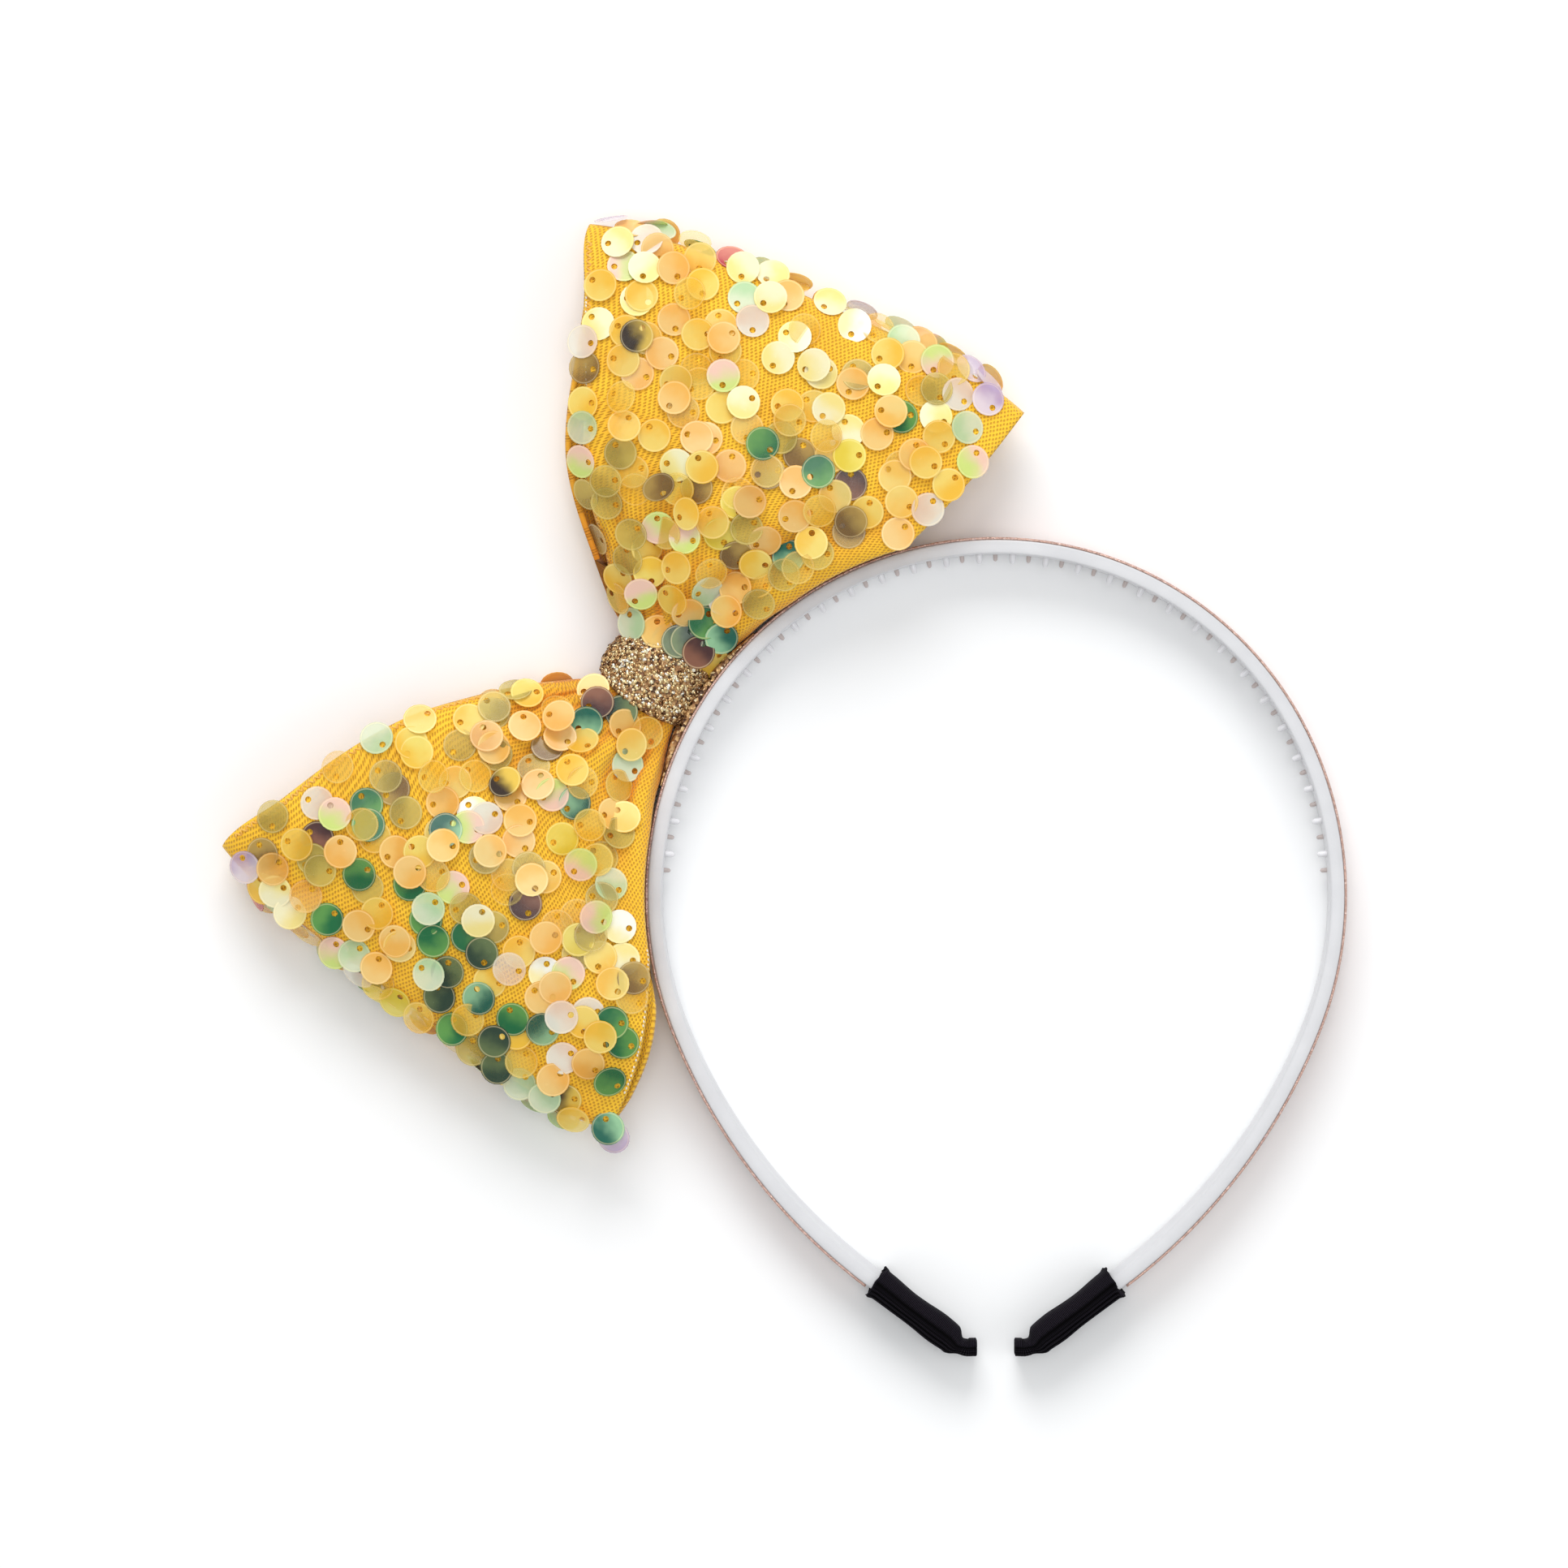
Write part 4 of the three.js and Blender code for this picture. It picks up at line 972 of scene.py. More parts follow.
# %% Sequin frames
def spot_frame(spots):
    """Point, outward normal and ways along and across the loop at each spot, averaged over a step about
    as long as a sequin's radius, because a stiff disc bridges the gathers it lies on. Also gives how
    far the cloth swells above that point within the step, and the millimetres to a whole loop along
    and across."""
    place, outward, lengthwise, crosswise = (np.zeros((len(spots), 3)) for _ in range(4))
    swell, scale = np.zeros(len(spots)), np.zeros((len(spots), 2))
    for side in (1, -1):
        picked = spots[:, 0] == side
        front, along, across = spots[picked, 1] > 0.5, spots[picked, 2], spots[picked, 3]
        reach = 0.003 + 0.03 * (1 - smooth((along - 0.78) / 0.14))
        inner, outer = np.maximum(along - reach, 0), np.minimum(along + reach, 1)
        reach = 2.2 / (16 + 69 * along)
        low, high = np.maximum(across - reach, 0), np.minimum(across + reach, 1)
        corners = [cloth_point(side, front, *pair) for pair in
                   ((inner, across), (outer, across), (along, low), (along, high), (along, across),
                    (along, (across + low) / 2), (along, (across + high) / 2))]
        step_on, step_over = corners[1] - corners[0], corners[3] - corners[2]
        normal = np.cross(step_on, step_over) * side * np.where(front, 1, -1)[:, None]
        place[picked] = sum(corners[:5]) / 5
        scale[picked] = np.stack([np.linalg.norm(step_on, axis=1) / (outer - inner),
                                  np.linalg.norm(step_over, axis=1) / (high - low)], axis=1)
        outward[picked], lengthwise[picked], crosswise[picked] = unit(normal), unit(step_on), unit(step_over)
        above = [np.sum((corner - place[picked]) * outward[picked], axis=1) for corner in corners]
        swell[picked] = np.clip(np.max(above, axis=0), 0, 1.5)
    return place, outward, lengthwise, crosswise, swell, scale


def unit(vectors):
    """Each vector over its own length."""
    return vectors / np.linalg.norm(vectors, axis=-1, keepdims=True)


def square_to(outward, way):
    """The way less its share of the outward direction, made one long."""
    return unit(way - outward * np.sum(way * outward, axis=1, keepdims=True))


spot_place, spot_outward, spot_lengthwise, spot_crosswise, spot_swell, spot_scale = spot_frame(sequin_spots)
# Over the fold the sequins hang away from the knot, beside it towards it, along the open edges inwards,
# and elsewhere any way round
fold_share = smooth((sequin_spots[:, 2] - 0.86) / 0.1)[:, None]
hang_angle = chance.uniform(0, 2 * np.pi, SEQUIN_COUNT)
rough_way = np.stack([np.cos(hang_angle), np.sin(hang_angle), np.zeros(SEQUIN_COUNT)], axis=1)
edge_share = smooth((0.2 - sequin_spots[:, 3]) / 0.12) - smooth((sequin_spots[:, 3] - 0.86) / 0.08)
hang_way = rough_way * (1 - 0.6 * fold_share) - spot_lengthwise * fold_share
hang_way -= 2.0 * spot_crosswise * edge_share[:, None]
# The crowded ones are the first on each front wall
on_front = sequin_spots[:, 1] > 0.5
crowded_rows = {side: np.flatnonzero((sequin_spots[:, 0] == side) & on_front)[:len(spots)]
                for side, spots in CROWDED_SPOTS.items()}
crowded = np.zeros(SEQUIN_COUNT, bool)
crowded[np.concatenate(list(crowded_rows.values()))] = True
by_knot = crowded & (sequin_spots[:, 2] < 0.22)
over_far = crowded & (sequin_spots[:, 3] > 0.95)
over_near = crowded & (sequin_spots[:, 3] < 0.05) & (sequin_spots[:, 2] > 0.3)
at_corner = crowded & (sequin_spots[:, 2] > 0.9)
far_pull = np.where(sequin_spots[:, :1] > 0, -1.0, -0.3)
for picked, rough, on, over in ((by_knot, 0.0, 1.0, 0.0), (over_far, 0.4, 0.0, far_pull),
                                (over_near, 0.4, 1.0, 0.3), (at_corner, 0.25, -1.0, 0.9)):
    pulled = rough * rough_way + on * spot_lengthwise + over * spot_crosswise
    hang_way[picked] = pulled[picked]
hang_way = square_to(spot_outward, hang_way)

# %% [markdown]
# ## Sequins: their colours
# Each sequin is a clear film with a thin coloured coating, which throws back gold, peach, green, teal,
# brown or white as it tilts. A finish must look the same from every side, so that reflection is
# painted on each sequin together with its coating's colour: two tones of a family, a sweep from one to
# the other, and its own clearness. Most are gold or peach.
# The few dark ones are set near the places where the photograph shows them.

# %% Sequin colours
# Families: two tones, how clear the film is, and its share on the upper loop, the lower and the folds
# The tones are partly each coating's own colour and partly painted reflection, and flash is a painted glint
SEQUIN_FAMILIES = {
    "peach": ("#FFD684", "#FFC25A", 0.3, 0.15, 0.27, 0.14),
    "gold": ("#FFE274", "#FFCC42", 0.4, 0.26, 0.2, 0.16),
    "clear": ("#FADA64", "#F6C234", 0.7, 0.22, 0.19, 0.2),
    "amber": ("#FFCF74", "#F3B44C", 0.45, 0.05, 0.07, 0.05),
    "cream": ("#FFF8CC", "#FFEC92", 0.22, 0.06, 0.03, 0.07),
    "khaki": ("#DCC660", "#B9A44A", 0.55, 0.13, 0.1, 0.05),
    "lemon": ("#FAE96A", "#F0D63A", 0.4, 0.03, 0.02, 0.03),
    "opal": ("#FFD9C4", "#DDF08A", 0.34, 0.02, 0.03, 0.06),
    "pearl": ("#FAF5E6", "#F7DFC8", 0.45, 0.008, 0.008, 0.08),
    "mint": ("#E9F2D0", "#C6E6B4", 0.45, 0.01, 0.01, 0.12),
    "lilac": ("#EADDE6", "#C2AACC", 0.45, 0.0, 0.0, 0.012),
    "green": ("#0E6A3A", "#5E9A4A", 0.14, 0.0, 0.0, 0.0),
    "teal": ("#17604E", "#93C497", 0.18, 0.0, 0.0, 0.0),
    "slate": ("#26402E", "#64764A", 0.14, 0.0, 0.0, 0.0),
    "bronze": ("#8A6A3C", "#C6A65A", 0.36, 0.035, 0.03, 0.02),
    "umber": ("#482826", "#8A5A44", 0.14, 0.0, 0.0, 0.0),
    "dusk": ("#33261C", "#E2BE4E", 0.14, 0.0, 0.0, 0.0),
    "flash": ("#FFFFF4", "#FFF1AC", 0.06, 0.0, 0.0, 0.0),
    "rose": ("#C23A4E", "#E58A7A", 0.2, 0.0, 0.0, 0.0),
}
family_names = list(SEQUIN_FAMILIES)


def family_numbers(names):
    return [family_names.index(name) for name in names]


def pick_families(column):
    """A family for each sequin, by the shares in this column of the table."""
    shares = np.array([row[column] for row in SEQUIN_FAMILIES.values()])
    return chance.choice(len(shares), SEQUIN_COUNT, p=shares / shares.sum())


on_upper, on_lower = pick_families(3), pick_families(4)
on_wall = np.where(sequin_spots[:, 0] > 0, on_upper, on_lower)
on_fold = chance.uniform(0, 1, SEQUIN_COUNT) < fold_share[:, 0]
sequin_family = np.where(on_fold, pick_families(5), on_wall)
# The upper loop's end that faces the light throws back more white
LIT_SHARE = 0.14
lit_end = (sequin_spots[:, 0] > 0) & on_front & (sequin_spots[:, 2] > 0.62) & (sequin_spots[:, 3] < 0.75)
lit_end &= chance.uniform(0, 1, SEQUIN_COUNT) < LIT_SHARE
sequin_family[lit_end] = chance.choice(family_numbers(("cream", "gold")), lit_end.sum())

# Dark and bright sequins, in the bow's own frame: X along the loops, Y away from the band
NOTED_PLACES = {
    "green": ((-44, 44), (-45, 38), (-55, 36), (-53, 31), (-63, 38), (-58, 27), (-57, 18), (-58, 13),
              (-68, 9), (-63, 0), (-61, -20), (-67, -23), (-56, -15), (44, 12), (50, 8), (45, 5), (63, -7)),
    "teal": ((-62, 8), (-62, -5), (-25, 10), (-39, 29), (31, -3), (-75, -24)),
    "slate": ((-68, 3), (-71, 1), (-14, 18), (-65, 13), (-62, 16), (-59, 8)),
    "umber": ((-55, 49), (-46, 8), (49, -5)),
    "dusk": ((-71, -14), (-30, 26), (53, 43)),
    "bronze": ((40, -7), (38, -12), (33, 34), (27, 8), (30, 46), (48, 7)),
    "khaki": ((-22, 23), (-61, 34), (-60, 45), (-57, 41), (22, 30), (20, 26), (-28, 2), (-40, -2), (-53, 13),
              (30, 38), (34, 33), (25, 34)),
    "lemon": ((55, -1), (-44, 1), (33, 9)),
    "opal": ((-34, 26), (-56, -8), (-37, 4), (27, 24), (26, 15)),
    "cream": ((62, 45), (68, 33), (72, 26), (72, 19), (63, 19), (60, 8), (69, -13)),
    "flash": ((76, 0), (78, -9), (77, -13), (70, 9), (-51, 0), (-44, -9), (-34, 25)),
    "pearl": ((-34, 21), (-57, 4), (69, -13), (20, 6), (-60, -6), (-55, -9), (60, 22), (77, -6)),
    "lilac": ((-67, 56), (64, 57), (81, -12), (80, -16), (-75, -31)),
    "mint": ((-67, 49), (73, 46), (-23, 39), (-17, 5), (-77, 4), (-74, -7), (-76, -17), (-36, -9)),
    "rose": ((72, 38), (-68, 53)),
}
front_spots = np.flatnonzero(on_front)
for name, places in NOTED_PLACES.items():
    for flat_place in from_bow(np.array([(*place, 0.0) for place in places]))[:, :2]:
        distance = np.linalg.norm(spot_place[front_spots, :2] - flat_place, axis=1)
        sequin_family[front_spots[np.argmin(distance)]] = family_names.index(name)
for side, spots in CROWDED_SPOTS.items():
    sequin_family[crowded_rows[side]] = family_numbers(spot[2] for spot in spots)
# Behind, where the photograph doesn't reach, one in eight is dark
back_spots = np.flatnonzero(~on_front)
scattered = chance.choice(back_spots, len(back_spots) // 8, replace=False)
DARK_FAMILIES = ("green", "slate", "umber", "teal", "dusk")
sequin_family[scattered] = chance.choice(family_numbers(DARK_FAMILIES), len(scattered))
print(dict(zip(family_names, np.bincount(sequin_family, minlength=len(family_names)).tolist())))

# %% [markdown]
# ## Sequins: their shape
# A sequin is a thin flat disc with a hole. One disc is a ring of faces from the hole to the rim, on
# both sides and round both edges, and its faces stay flat-shaded so that its rim is crisp. All discs
# are placed at once: the hole lies on the cloth, and the far side is lifted by the tilt.

# %% Sequin shape
SEQUIN_RADIUS, SEQUIN_HOLE, HOLE_OFFSET = 3.0, 0.56, 1.72
SEQUIN_THICKNESS, SEQUIN_SIDES = 0.1, 20
FIRST_LIFT, LEVEL_STEP, MOST_LEVELS, FLOOR_GAP = 0.25, 0.22, 14, 0.1


def circle(sides):
    """Points on a circle of radius one, as cosine and sine of even angles."""
    angles = np.linspace(0, 2 * np.pi, sides, endpoint=False)
    return np.stack([np.cos(angles), np.sin(angles)], axis=1)


rim = circle(SEQUIN_SIDES) * SEQUIN_RADIUS
hole = circle(SEQUIN_SIDES) * SEQUIN_HOLE + (0, HOLE_OFFSET)
disc_flat = np.concatenate([hole, rim, rim, hole])
disc_up = np.repeat([SEQUIN_THICKNESS, SEQUIN_THICKNESS, 0, 0], SEQUIN_SIDES).astype(float)


def hoop_faces(rows, columns):
    """A grid of faces that closes on itself both ways, like a ring of a round or square section."""
    last = np.arange(columns) + (rows - 1) * columns
    close = np.stack([last, np.roll(last, -1), np.roll(np.arange(columns), -1), np.arange(columns)], axis=1)
    return np.concatenate([grid_faces(rows, columns, hoop=True), close])


def stack_levels(centres, loose):
    """A level for each sequin, the lowest that no sequin it could touch already has, so that
    neighbours lie over and under each other and never through. A loose one lies on its neighbours."""
    levels = np.full(len(centres), -1)
    for k in np.argsort(loose, kind="stable"):
        taken = levels[np.linalg.norm(centres - centres[k], axis=1) < 2 * SEQUIN_RADIUS]
        levels[k] = taken.max() + 1 if loose[k] else np.setdiff1d(np.arange(MOST_LEVELS), taken)[0]
    return levels


# A disc lies flush at its own middle, so the frame is taken again there, but over the fold it
# hangs free
middle_spots = sequin_spots.copy()
for column, way in ((0, spot_lengthwise), (1, spot_crosswise)):
    middle_spots[:, 2 + column] -= HOLE_OFFSET * np.sum(hang_way * way, axis=1) / spot_scale[:, column]
middle_spots[:, 2:] = np.clip(middle_spots[:, 2:], (0.1, -0.1), (0.999, 1.1))
flush = spot_frame(middle_spots)
hangs_free = fold_share > 0.5
disc_middle = np.where(hangs_free, spot_place - hang_way * HOLE_OFFSET, flush[0])
disc_outward = np.where(hangs_free, spot_outward, flush[1])
disc_swell = np.where(hangs_free[:, 0], spot_swell, flush[4])
hang_way = square_to(disc_outward, hang_way)
side_way = np.cross(disc_outward, hang_way)
# One in twenty stands up on its thread, above its neighbours, and over the fold they hang loosely
loose = (chance.uniform(0, 1, SEQUIN_COUNT) < 0.05) & ~crowded & (fold_share[:, 0] < 0.5)
levels = stack_levels(disc_middle, loose)
print("levels of overlap:", np.bincount(levels))
tilt = chance.uniform(0.01, 0.04, SEQUIN_COUNT) + fold_share[:, 0] * chance.uniform(0.0, 0.4, SEQUIN_COUNT)
tilt = np.where(loose, chance.uniform(0.2, 0.5, SEQUIN_COUNT), np.where(by_knot, 0.15, tilt))
roll = chance.normal(0, 0.02, SEQUIN_COUNT) * ~crowded
lift = (FIRST_LIFT + LEVEL_STEP * levels + disc_swell
        + np.where(loose, (SEQUIN_RADIUS - HOLE_OFFSET) * np.sin(tilt), 0))
# The disc's own frame: its far side points away from the hang way, lifted by the tilt
disc_y = unit(hang_way - disc_outward * np.tan(tilt)[:, None])
disc_z = unit(disc_outward + hang_way * np.tan(tilt)[:, None] + side_way * np.tan(roll)[:, None])
disc_x = unit(np.cross(disc_y, disc_z))
disc_y = np.cross(disc_z, disc_x)
anchor = disc_middle + disc_outward * (lift + HOLE_OFFSET * np.sin(tilt))[:, None]
sequin_points = (anchor[:, None, :] + disc_x[:, None, :] * disc_flat[None, :, :1]
                 + disc_y[:, None, :] * disc_flat[None, :, 1:] + disc_z[:, None, :] * disc_up[None, :, None])
# A sequin that would dip below the floor is raised as a whole until it lies just above it
sequin_points[..., 2] += np.maximum(FLOOR_GAP - sequin_points[..., 2].min(axis=1), 0)[:, None]
# The map that the finish reads is the disc itself, turned by its own random angle
sequin_turn = chance.uniform(0, 2 * np.pi, SEQUIN_COUNT)[:, None]
map_x, map_y = (disc_flat / SEQUIN_RADIUS).T
disc_map = np.stack([np.cos(sequin_turn) * map_x - np.sin(sequin_turn) * map_y,
                     np.sin(sequin_turn) * map_x + np.cos(sequin_turn) * map_y], axis=2)
print("sequin points:", sequin_points.shape)

# %% [markdown]
# ## Sequins: their finish
# The finish reads the two tones and mixes them along the sweep, draws the faint pale line inside the
# rim, and lets some of the cloth show through. A smooth film gives the glassy gloss.

# %% Sequin finish
sequin_film = plain_finish("sequin_film", paint("#FFD27E"), 0.2)
sequin_map = add_node(sequin_film, "UVMap", uv_map="disc").outputs[0]
sequin_across = add_node(sequin_film, "SeparateXYZ", {0: sequin_map}).outputs[0]
sequin_far = add_node(sequin_film, "VectorMath", {0: sequin_map}, operation="LENGTH").outputs["Value"]
sequin_edge = calculate(sequin_film, "MULTIPLY", rise(sequin_film, sequin_far, 0.86, 0.91),
                        calculate(sequin_film, "SUBTRACT", 1.0, rise(sequin_film, sequin_far, 0.93, 0.97)))
# Painted reflection: noise breaks the sweep between the two tones into patches
sequin_reflection_sweep = calculate(sequin_film, "MULTIPLY_ADD", noise(sequin_film, 260.0), 1.6, sequin_across)
sequin_tone = mix_colors(sequin_film, rise(sequin_film, sequin_reflection_sweep, 0.2, 1.5),
                         read_color(sequin_film, "tone_a"), read_color(sequin_film, "tone_b"))
sequin_lined = mix_colors(sequin_film, calculate(sequin_film, "MULTIPLY", sequin_edge, 0.3),
                          sequin_tone, paint("#FFE7B0"))
sequin_scuff = noise(sequin_film, 700.0)
sequin_cover = calculate(sequin_film, "SUBTRACT", 1.0, read_share(sequin_film, "clear"))
dress(sequin_film, {
    "Base Color": sequin_lined,
    "Roughness": spread(sequin_film, sequin_scuff, 0.12, 0.34),
    "Alpha": calculate(sequin_film, "MULTIPLY_ADD", sequin_edge, 0.15, sequin_cover),
}, sequin_scuff, 0.00002)

family_table = list(SEQUIN_FAMILIES.values())
shade = chance.normal(1, 0.05, (SEQUIN_COUNT, 1))
disc_tones = {}
for column, tone_name in enumerate(("tone_a", "tone_b")):
    tone = np.array([paint(row[column]) for row in family_table])[sequin_family]
    tone[:, :3] = np.clip(tone[:, :3] * shade, 0, 1)
    disc_tones[tone_name] = np.repeat(tone, len(disc_flat), axis=0)
clear = np.array([row[2] for row in family_table])[sequin_family]
clear = np.clip(clear + chance.normal(0, 0.09, SEQUIN_COUNT), 0.02, 0.85)
sequins = new_piece("sequins", sequin_points.reshape(-1, 3),
                    repeat_faces([hoop_faces(4, SEQUIN_SIDES)], np.arange(SEQUIN_COUNT) * len(disc_flat)),
                    sequin_film, uv={"disc": disc_map.reshape(-1, 2)}, colors=disc_tones,
                    shares={"clear": np.repeat(clear, len(disc_flat))})
sequins.data.shade_flat()

# %% [markdown]
# ## Knot
# The neck is wrapped in a strip of coarse gold glitter cloth. The strip hugs the gathered cloth: its
# points are those of the neck, pushed away from the neck's middle, and it is wider in front than
# where it turns over the edges. Loose flakes are then scattered over it as thin six-sided chips.

# %% Knot strip
KNOT_ALONG, KNOT_CLEAR, KNOT_THICKNESS = 0.085, 0.3, 1.3
KNOT_ROUND, KNOT_WIDE, KNOT_EASE = 96, 22, 0.6

gold_glitter = glitter_finish("gold_glitter", (
    (0.0, "#4E321E"), (0.12, "#765034"), (0.3, "#A0744A"), (0.54, "#C49B68"),
    (0.76, "#DEBC88"), (0.9, "#F4E2B8"), (0.97, "#FFF9E2")), 1900.0, 0.4, 0.34, 0.00014)


def knot_share(across):
    """The strip's width as a share of its widest: a power of a half wave, narrower at the edges."""
    narrow = np.where(across > 0.5, 0.6, 0.74)
    return narrow + (1 - narrow) * np.abs(np.sin(np.pi * across)) ** 0.8


def knot_point(front, across, place, offset):
    """The neck's own point at this place across the strip, pushed away from the neck's middle."""
    side_points = [cloth_point(side, front, np.abs(place) * KNOT_ALONG * knot_share(across), across)
                   for side in (1, -1)]
    point = np.where((place < 0)[..., None], side_points[1], side_points[0])
    x, y = into_bow(point[..., :2])
    away = np.stack([y - NECK_LOW - NECK_HEIGHT / 2, point[..., 2] - NECK_MIDDLE], axis=-1)
    length = np.linalg.norm(away, axis=-1, keepdims=True)
    pushed = away * (1 + offset[..., None] / length)
    own = np.stack([x, pushed[..., 0] + NECK_LOW + NECK_HEIGHT / 2, pushed[..., 1] + NECK_MIDDLE], axis=-1)
    return from_bow(own)


def knot_outside(turn, place, extra=0.0):
    """Outside of the strip. turn goes once round the neck, 0 to 1 over the front and 1 to 2 behind."""
    front = turn < 1
    across = ease_ends(np.clip(np.where(front, turn, 2 - turn), 0, 1), KNOT_EASE)
    depth = KNOT_THICKNESS * (0.5 + 0.5 * np.sqrt(np.maximum(1 - place ** 2, 0)))
    wrinkle = 0.12 * np.sin(9 * place + 5 * turn) + 0.1 * np.sin(4 * place - 11 * turn)
    return knot_point(front, across, place, KNOT_CLEAR + depth + wrinkle * (1 - place ** 4) - 0.15 + extra)


knot_turns = np.linspace(0, 2, KNOT_ROUND, endpoint=False)
knot_places = np.linspace(-1, 1, KNOT_WIDE)
turn_grid, place_grid = np.meshgrid(knot_turns, knot_places, indexing="ij")
outside = knot_outside(turn_grid, place_grid)
back_places = place_grid[:, ::-1]
inside_across = ease_ends(np.where(turn_grid < 1, turn_grid, 2 - turn_grid), KNOT_EASE)
inside = knot_point(turn_grid < 1, inside_across, back_places, np.full(back_places.shape, KNOT_CLEAR))
knot_points = np.concatenate([outside, inside], axis=1)
knot_strip = new_piece("knot_strip", knot_points.reshape(-1, 3), [hoop_faces(*knot_points.shape[:2])],
                       gold_glitter)
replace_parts(knot_strip, "bow_knot")

# %% Knot flakes
FLAKE_COUNT, FLAKE_SIDES, FLAKE_THICKNESS, FLAKE_LIFT = 2300, 6, 0.06, 0.1
flake_turn = chance.uniform(0.0, 2.0, FLAKE_COUNT)
flake_place = chance.uniform(-0.97, 0.97, FLAKE_COUNT)
flake_at = knot_outside(flake_turn, flake_place)
flake_along = knot_outside(flake_turn, flake_place + 0.01) - flake_at
flake_round = knot_outside(np.clip(flake_turn + 0.01, 0, 2), flake_place) - knot_outside(
    np.clip(flake_turn - 0.01, 0, 2), flake_place)
flake_out = unit(np.cross(flake_round, flake_along))
knot_middle = from_bow(np.array([0, NECK_LOW + NECK_HEIGHT / 2, NECK_MIDDLE]))
flake_out *= np.sign(np.sum(flake_out * (flake_at - knot_middle), axis=1, keepdims=True))
flake_z = unit(flake_out + chance.normal(0, 0.28, (FLAKE_COUNT, 3)))
flake_x = unit(np.cross(flake_z, chance.normal(0, 1, (FLAKE_COUNT, 3))))
flake_y = np.cross(flake_z, flake_x)
flake_size = chance.uniform(0.2, 0.46, FLAKE_COUNT)
flake_flat = np.tile(circle(FLAKE_SIDES), (2, 1))
flake_up = np.repeat([FLAKE_THICKNESS, 0.0], FLAKE_SIDES)
flake_points = (flake_at[:, None] + flake_out[:, None] * FLAKE_LIFT
                + flake_size[:, None, None] * (flake_x[:, None] * flake_flat[None, :, :1]
                                               + flake_y[:, None] * flake_flat[None, :, 1:])
                + flake_z[:, None] * flake_up[None, :, None])

# %% [markdown]
# ## Knot tails
# The knot's strip is glued along the band on both sides of the neck, where it fills the crevice
# between the cloth and the band with dark glitter. It is carried along the ring's line with a flat
# side to the band: a thin fillet under the knot, thickest beside it, and tapering to both ends.

# %% Knot tails
TAIL_REACH, TAIL_MIDDLE, TAIL_HALF = 16.0, 5.0, 4.6

tail_places = np.linspace(-TAIL_REACH, TAIL_REACH, 96)
tail_line, tail_outward, _, _ = ring_line(BOW_AT + tail_places)
tail_away = np.abs(tail_places)
tail_thick = 0.26 + (1.34 - 1.2 * smooth((tail_away - 5) / 11)) * smooth((tail_away - 4.7) / 0.7)
tail_angles = np.linspace(-np.pi / 2, np.pi / 2, 17)
tail_up = TAIL_MIDDLE + TAIL_HALF * np.sign(np.sin(tail_angles)) * np.abs(np.sin(tail_angles)) ** 0.4
tail_fill = 1.3 * smooth((tail_up - 7.2) / 2) * (1 - smooth((tail_away - 4.2) / 0.9))[:, None]
tail_out = 0.03 + (tail_thick[:, None] + tail_fill) * np.cos(tail_angles) ** 0.6
tail_points = carry_profile(tail_line, tail_outward, tail_out, np.broadcast_to(tail_up, tail_out.shape))
new_piece("knot_tails", tail_points.reshape(-1, 3), tube_faces(*tail_points.shape[:2]),
          gold_glitter)

# %% [markdown]
# ## Flake finish
# A flake is a chip of metal-coated film, so it is nearly a mirror with a gold tone of its own. The
# tones are painted from dark brown, painted shade where a chip faces away into the pile, to nearly white, a
# painted highlight where it faces up.

# %% Flakes
flake_film = plain_finish("flake_film", paint("#D9B56C"), 0.24)
dress(flake_film, {"Base Color": read_color(flake_film, "tone"), "Metallic": 0.75},
      noise(flake_film, 2500.0), 0.00001)
FLAKE_TONE_AND_LIGHT_STEPS = ("#5A3A24", "#805837", "#A67A4E", "#C69D6A", "#DCBB86", "#EED6A2", "#FAECC4", "#FFFCEE")
# Painted light and shade: chips that face up on the knot's crest are painted light, and those that turn down
# beside it are painted brown
flake_painted_light = np.clip(flake_out[:, 2], 0, 1) ** 1.5
flake_pick = chance.normal(1.3 + 3.5 * flake_painted_light, 1.9)
flake_tone_and_light = np.array([paint(code) for code in FLAKE_TONE_AND_LIGHT_STEPS])[np.clip(flake_pick, 0, 7).astype(int)]
flake_corners = len(flake_flat)
new_piece("knot_flakes", flake_points.reshape(-1, 3),
          repeat_faces(tube_faces(2, FLAKE_SIDES), np.arange(FLAKE_COUNT) * flake_corners),
          flake_film, colors={"tone": np.repeat(flake_tone_and_light, flake_corners, axis=0)})

# %% [markdown]
# ## Overlocked edges
# The cloth's cut edges are overlocked: a thread runs to and fro over the edge in a small zigzag. The
# far edge of each wall, and the upper loop's near edge behind, get a thin tube that follows the
# cloth's rim, swinging in and out from the edge.

# %% Edge thread
thread_finish = plain_finish("edge_thread", paint("#EDAA24"), 0.7)
thread_twist = noise(thread_finish, 1800.0)
dress(thread_finish, {
    "Base Color": mix_colors(thread_finish, thread_twist, paint("#D98C12"), paint("#FFD466")),
    "Sheen Weight": 0.3,
}, thread_twist, 0.00008)


def tube_along(path, radius, sides=5):
    """Rings of points round a path: the path's direction, the up way made square to it, and their
    cross product give each ring's plane."""
    way = unit(np.gradient(path, axis=0))
    level = unit(np.cross(way, np.array([0.13, 0.21, 1.0])))
    rise_way = np.cross(level, way)
    cosine, sine = circle(sides).T[:, None, :, None]
    return path[:, None] + radius * (level[:, None] * cosine + rise_way[:, None] * sine)


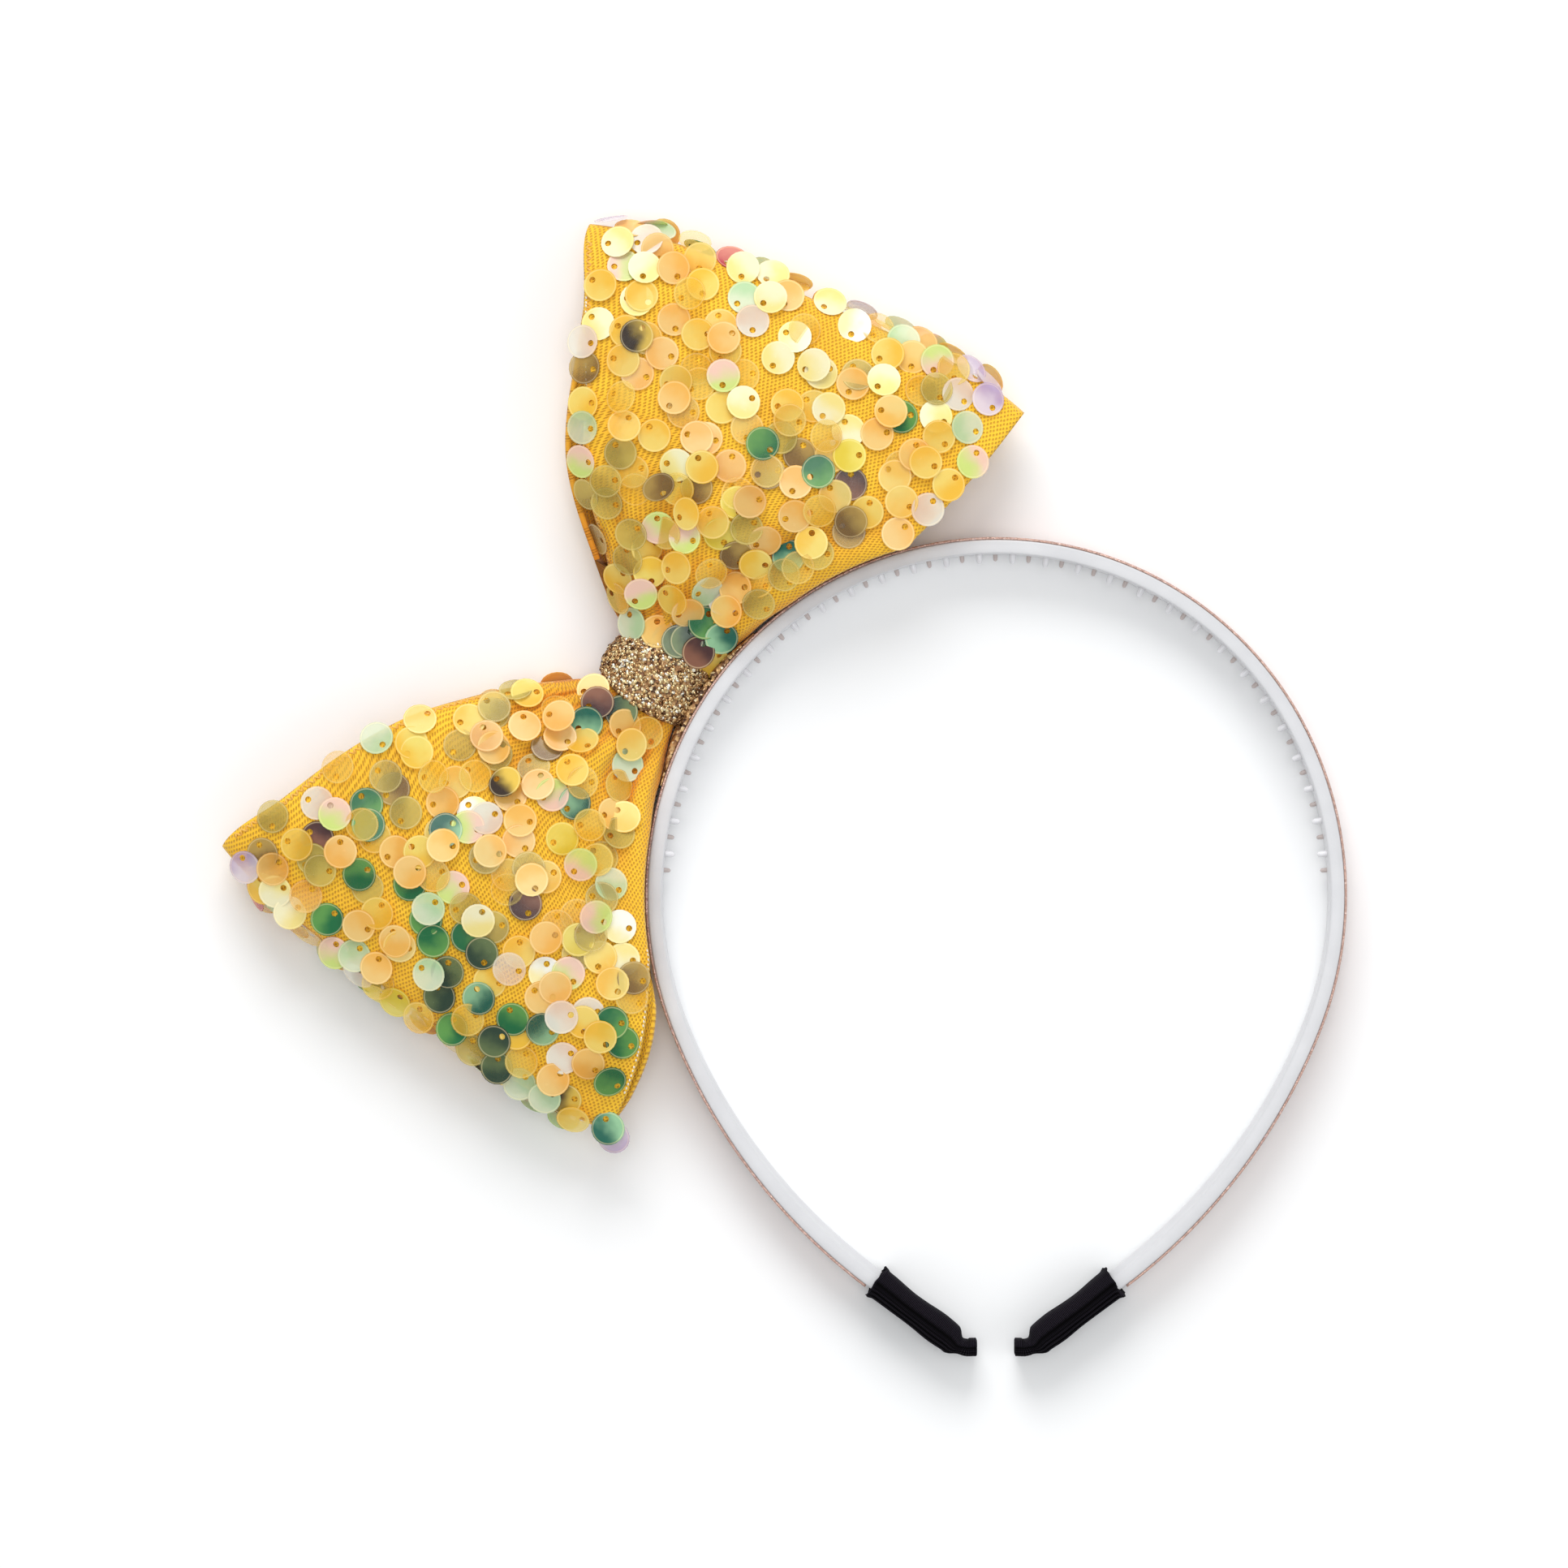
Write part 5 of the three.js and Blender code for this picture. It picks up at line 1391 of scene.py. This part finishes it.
def edge_path(side, front, near, start=0.15, end=0.95, pitch=1.25):
    """A zigzag along one edge: the place across the cloth swings by a wave, and the thread rises and
    sinks over the edge a quarter wave later."""
    places = np.linspace(start, end, 1200)
    edge = np.full(places.shape, 0.004 if near else 0.996)
    line = cloth_point(side, front, places, edge)
    length = np.concatenate([[0], np.cumsum(np.linalg.norm(np.diff(line, axis=0), axis=1))])
    count = int(length[-1] / pitch * 8)
    along = np.interp(np.linspace(0, length[-1], count), length, places)
    swing = 2 * np.pi * np.linspace(0, length[-1], count) / pitch
    spots = np.stack([np.full(count, side), np.full(count, front), along, np.full(count, edge[0])], axis=1)
    place, outward = spot_frame(spots)[:2]
    inward = unit(cloth_point(side, front, along, np.full(count, 0.03 if near else 0.97)) - place)
    return (place + inward * (0.2 + 0.4 * np.sin(swing))[:, None]
            + outward * (0.1 + 0.08 * np.cos(2 * swing))[:, None])


thread_points, thread_faces = [], []
for side, front, near in ((1, True, False), (1, False, False), (-1, True, False), (-1, False, False),
                          (1, False, True)):
    tube = tube_along(edge_path(side, front, near), 0.17)
    thread_faces.append(tube_faces(*tube.shape[:2], first=sum(len(points) for points in thread_points)))
    thread_points.append(tube.reshape(-1, 3))
new_piece("edge_thread", np.concatenate(thread_points),
          [np.concatenate(groups) for groups in zip(*thread_faces)], thread_finish)

# %% [markdown]
# ## Hand stitches
# Where a loop's front edge shows, small stitches of white thread hold it down. Each is a short bar
# with rounded ends that lies on the cloth just inside the edge.

# %% Hand stitches
stitch_thread = plain_finish("stitch_thread", paint("#F6F1E4"), 0.6)
stitch_fuzz = noise(stitch_thread, 2400.0)
stitch_color = mix_colors(stitch_thread, stitch_fuzz, paint("#FFFDF4"), paint("#E2D6B6"))
dress(stitch_thread, {"Base Color": stitch_color}, stitch_fuzz, 0.00005)
# Runs of stitches: side, near edge or far, and where each run starts and ends along the loop
STITCH_RUNS = ((1, False, 0.5, 0.85, 30), (-1, True, 0.58, 0.9, 30))
STITCH_REACH = np.array([-1, -0.92, -0.6, 0, 0.6, 0.92, 1.0])
STITCH_HALF, STITCH_GIRTH, STITCH_SIDES = 0.24, 0.17, 6


def stitch_bars(side, near, start, end, count):
    """Rings of points along each bar, whose radius is a root of a circle, so both ends are round."""
    along = np.linspace(start, end, count) + chance.normal(0, 0.002, count)
    across = np.full(count, 0.006 if near else 0.994)
    here = cloth_point(side, True, along, across)
    way = unit(cloth_point(side, True, along + 0.004, across) - here)
    inward = unit(cloth_point(side, True, along, np.full(count, 0.05 if near else 0.95)) - here)
    outward = unit(np.cross(way, inward)) * side * (-1 if near else 1)
    outward *= np.sign(outward[:, 2:])
    girth = STITCH_GIRTH * np.sqrt(np.maximum(1 - STITCH_REACH ** 4, 0.01))
    cosine, sine = circle(STITCH_SIDES).T[:, None, :, None]
    ring = inward[:, None] * cosine + outward[:, None] * sine
    line = here + outward * 0.12
    return (line[:, None, None] + way[:, None, None] * (STITCH_HALF * STITCH_REACH)[None, :, None, None]
            + ring[:, None] * girth[None, :, None, None])


stitches = np.concatenate([stitch_bars(*run) for run in STITCH_RUNS])
stitch_size = len(STITCH_REACH) * STITCH_SIDES
new_piece("hand_stitches", stitches.reshape(-1, 3),
          repeat_faces(tube_faces(len(STITCH_REACH), STITCH_SIDES), np.arange(len(stitches)) * stitch_size),
          stitch_thread)
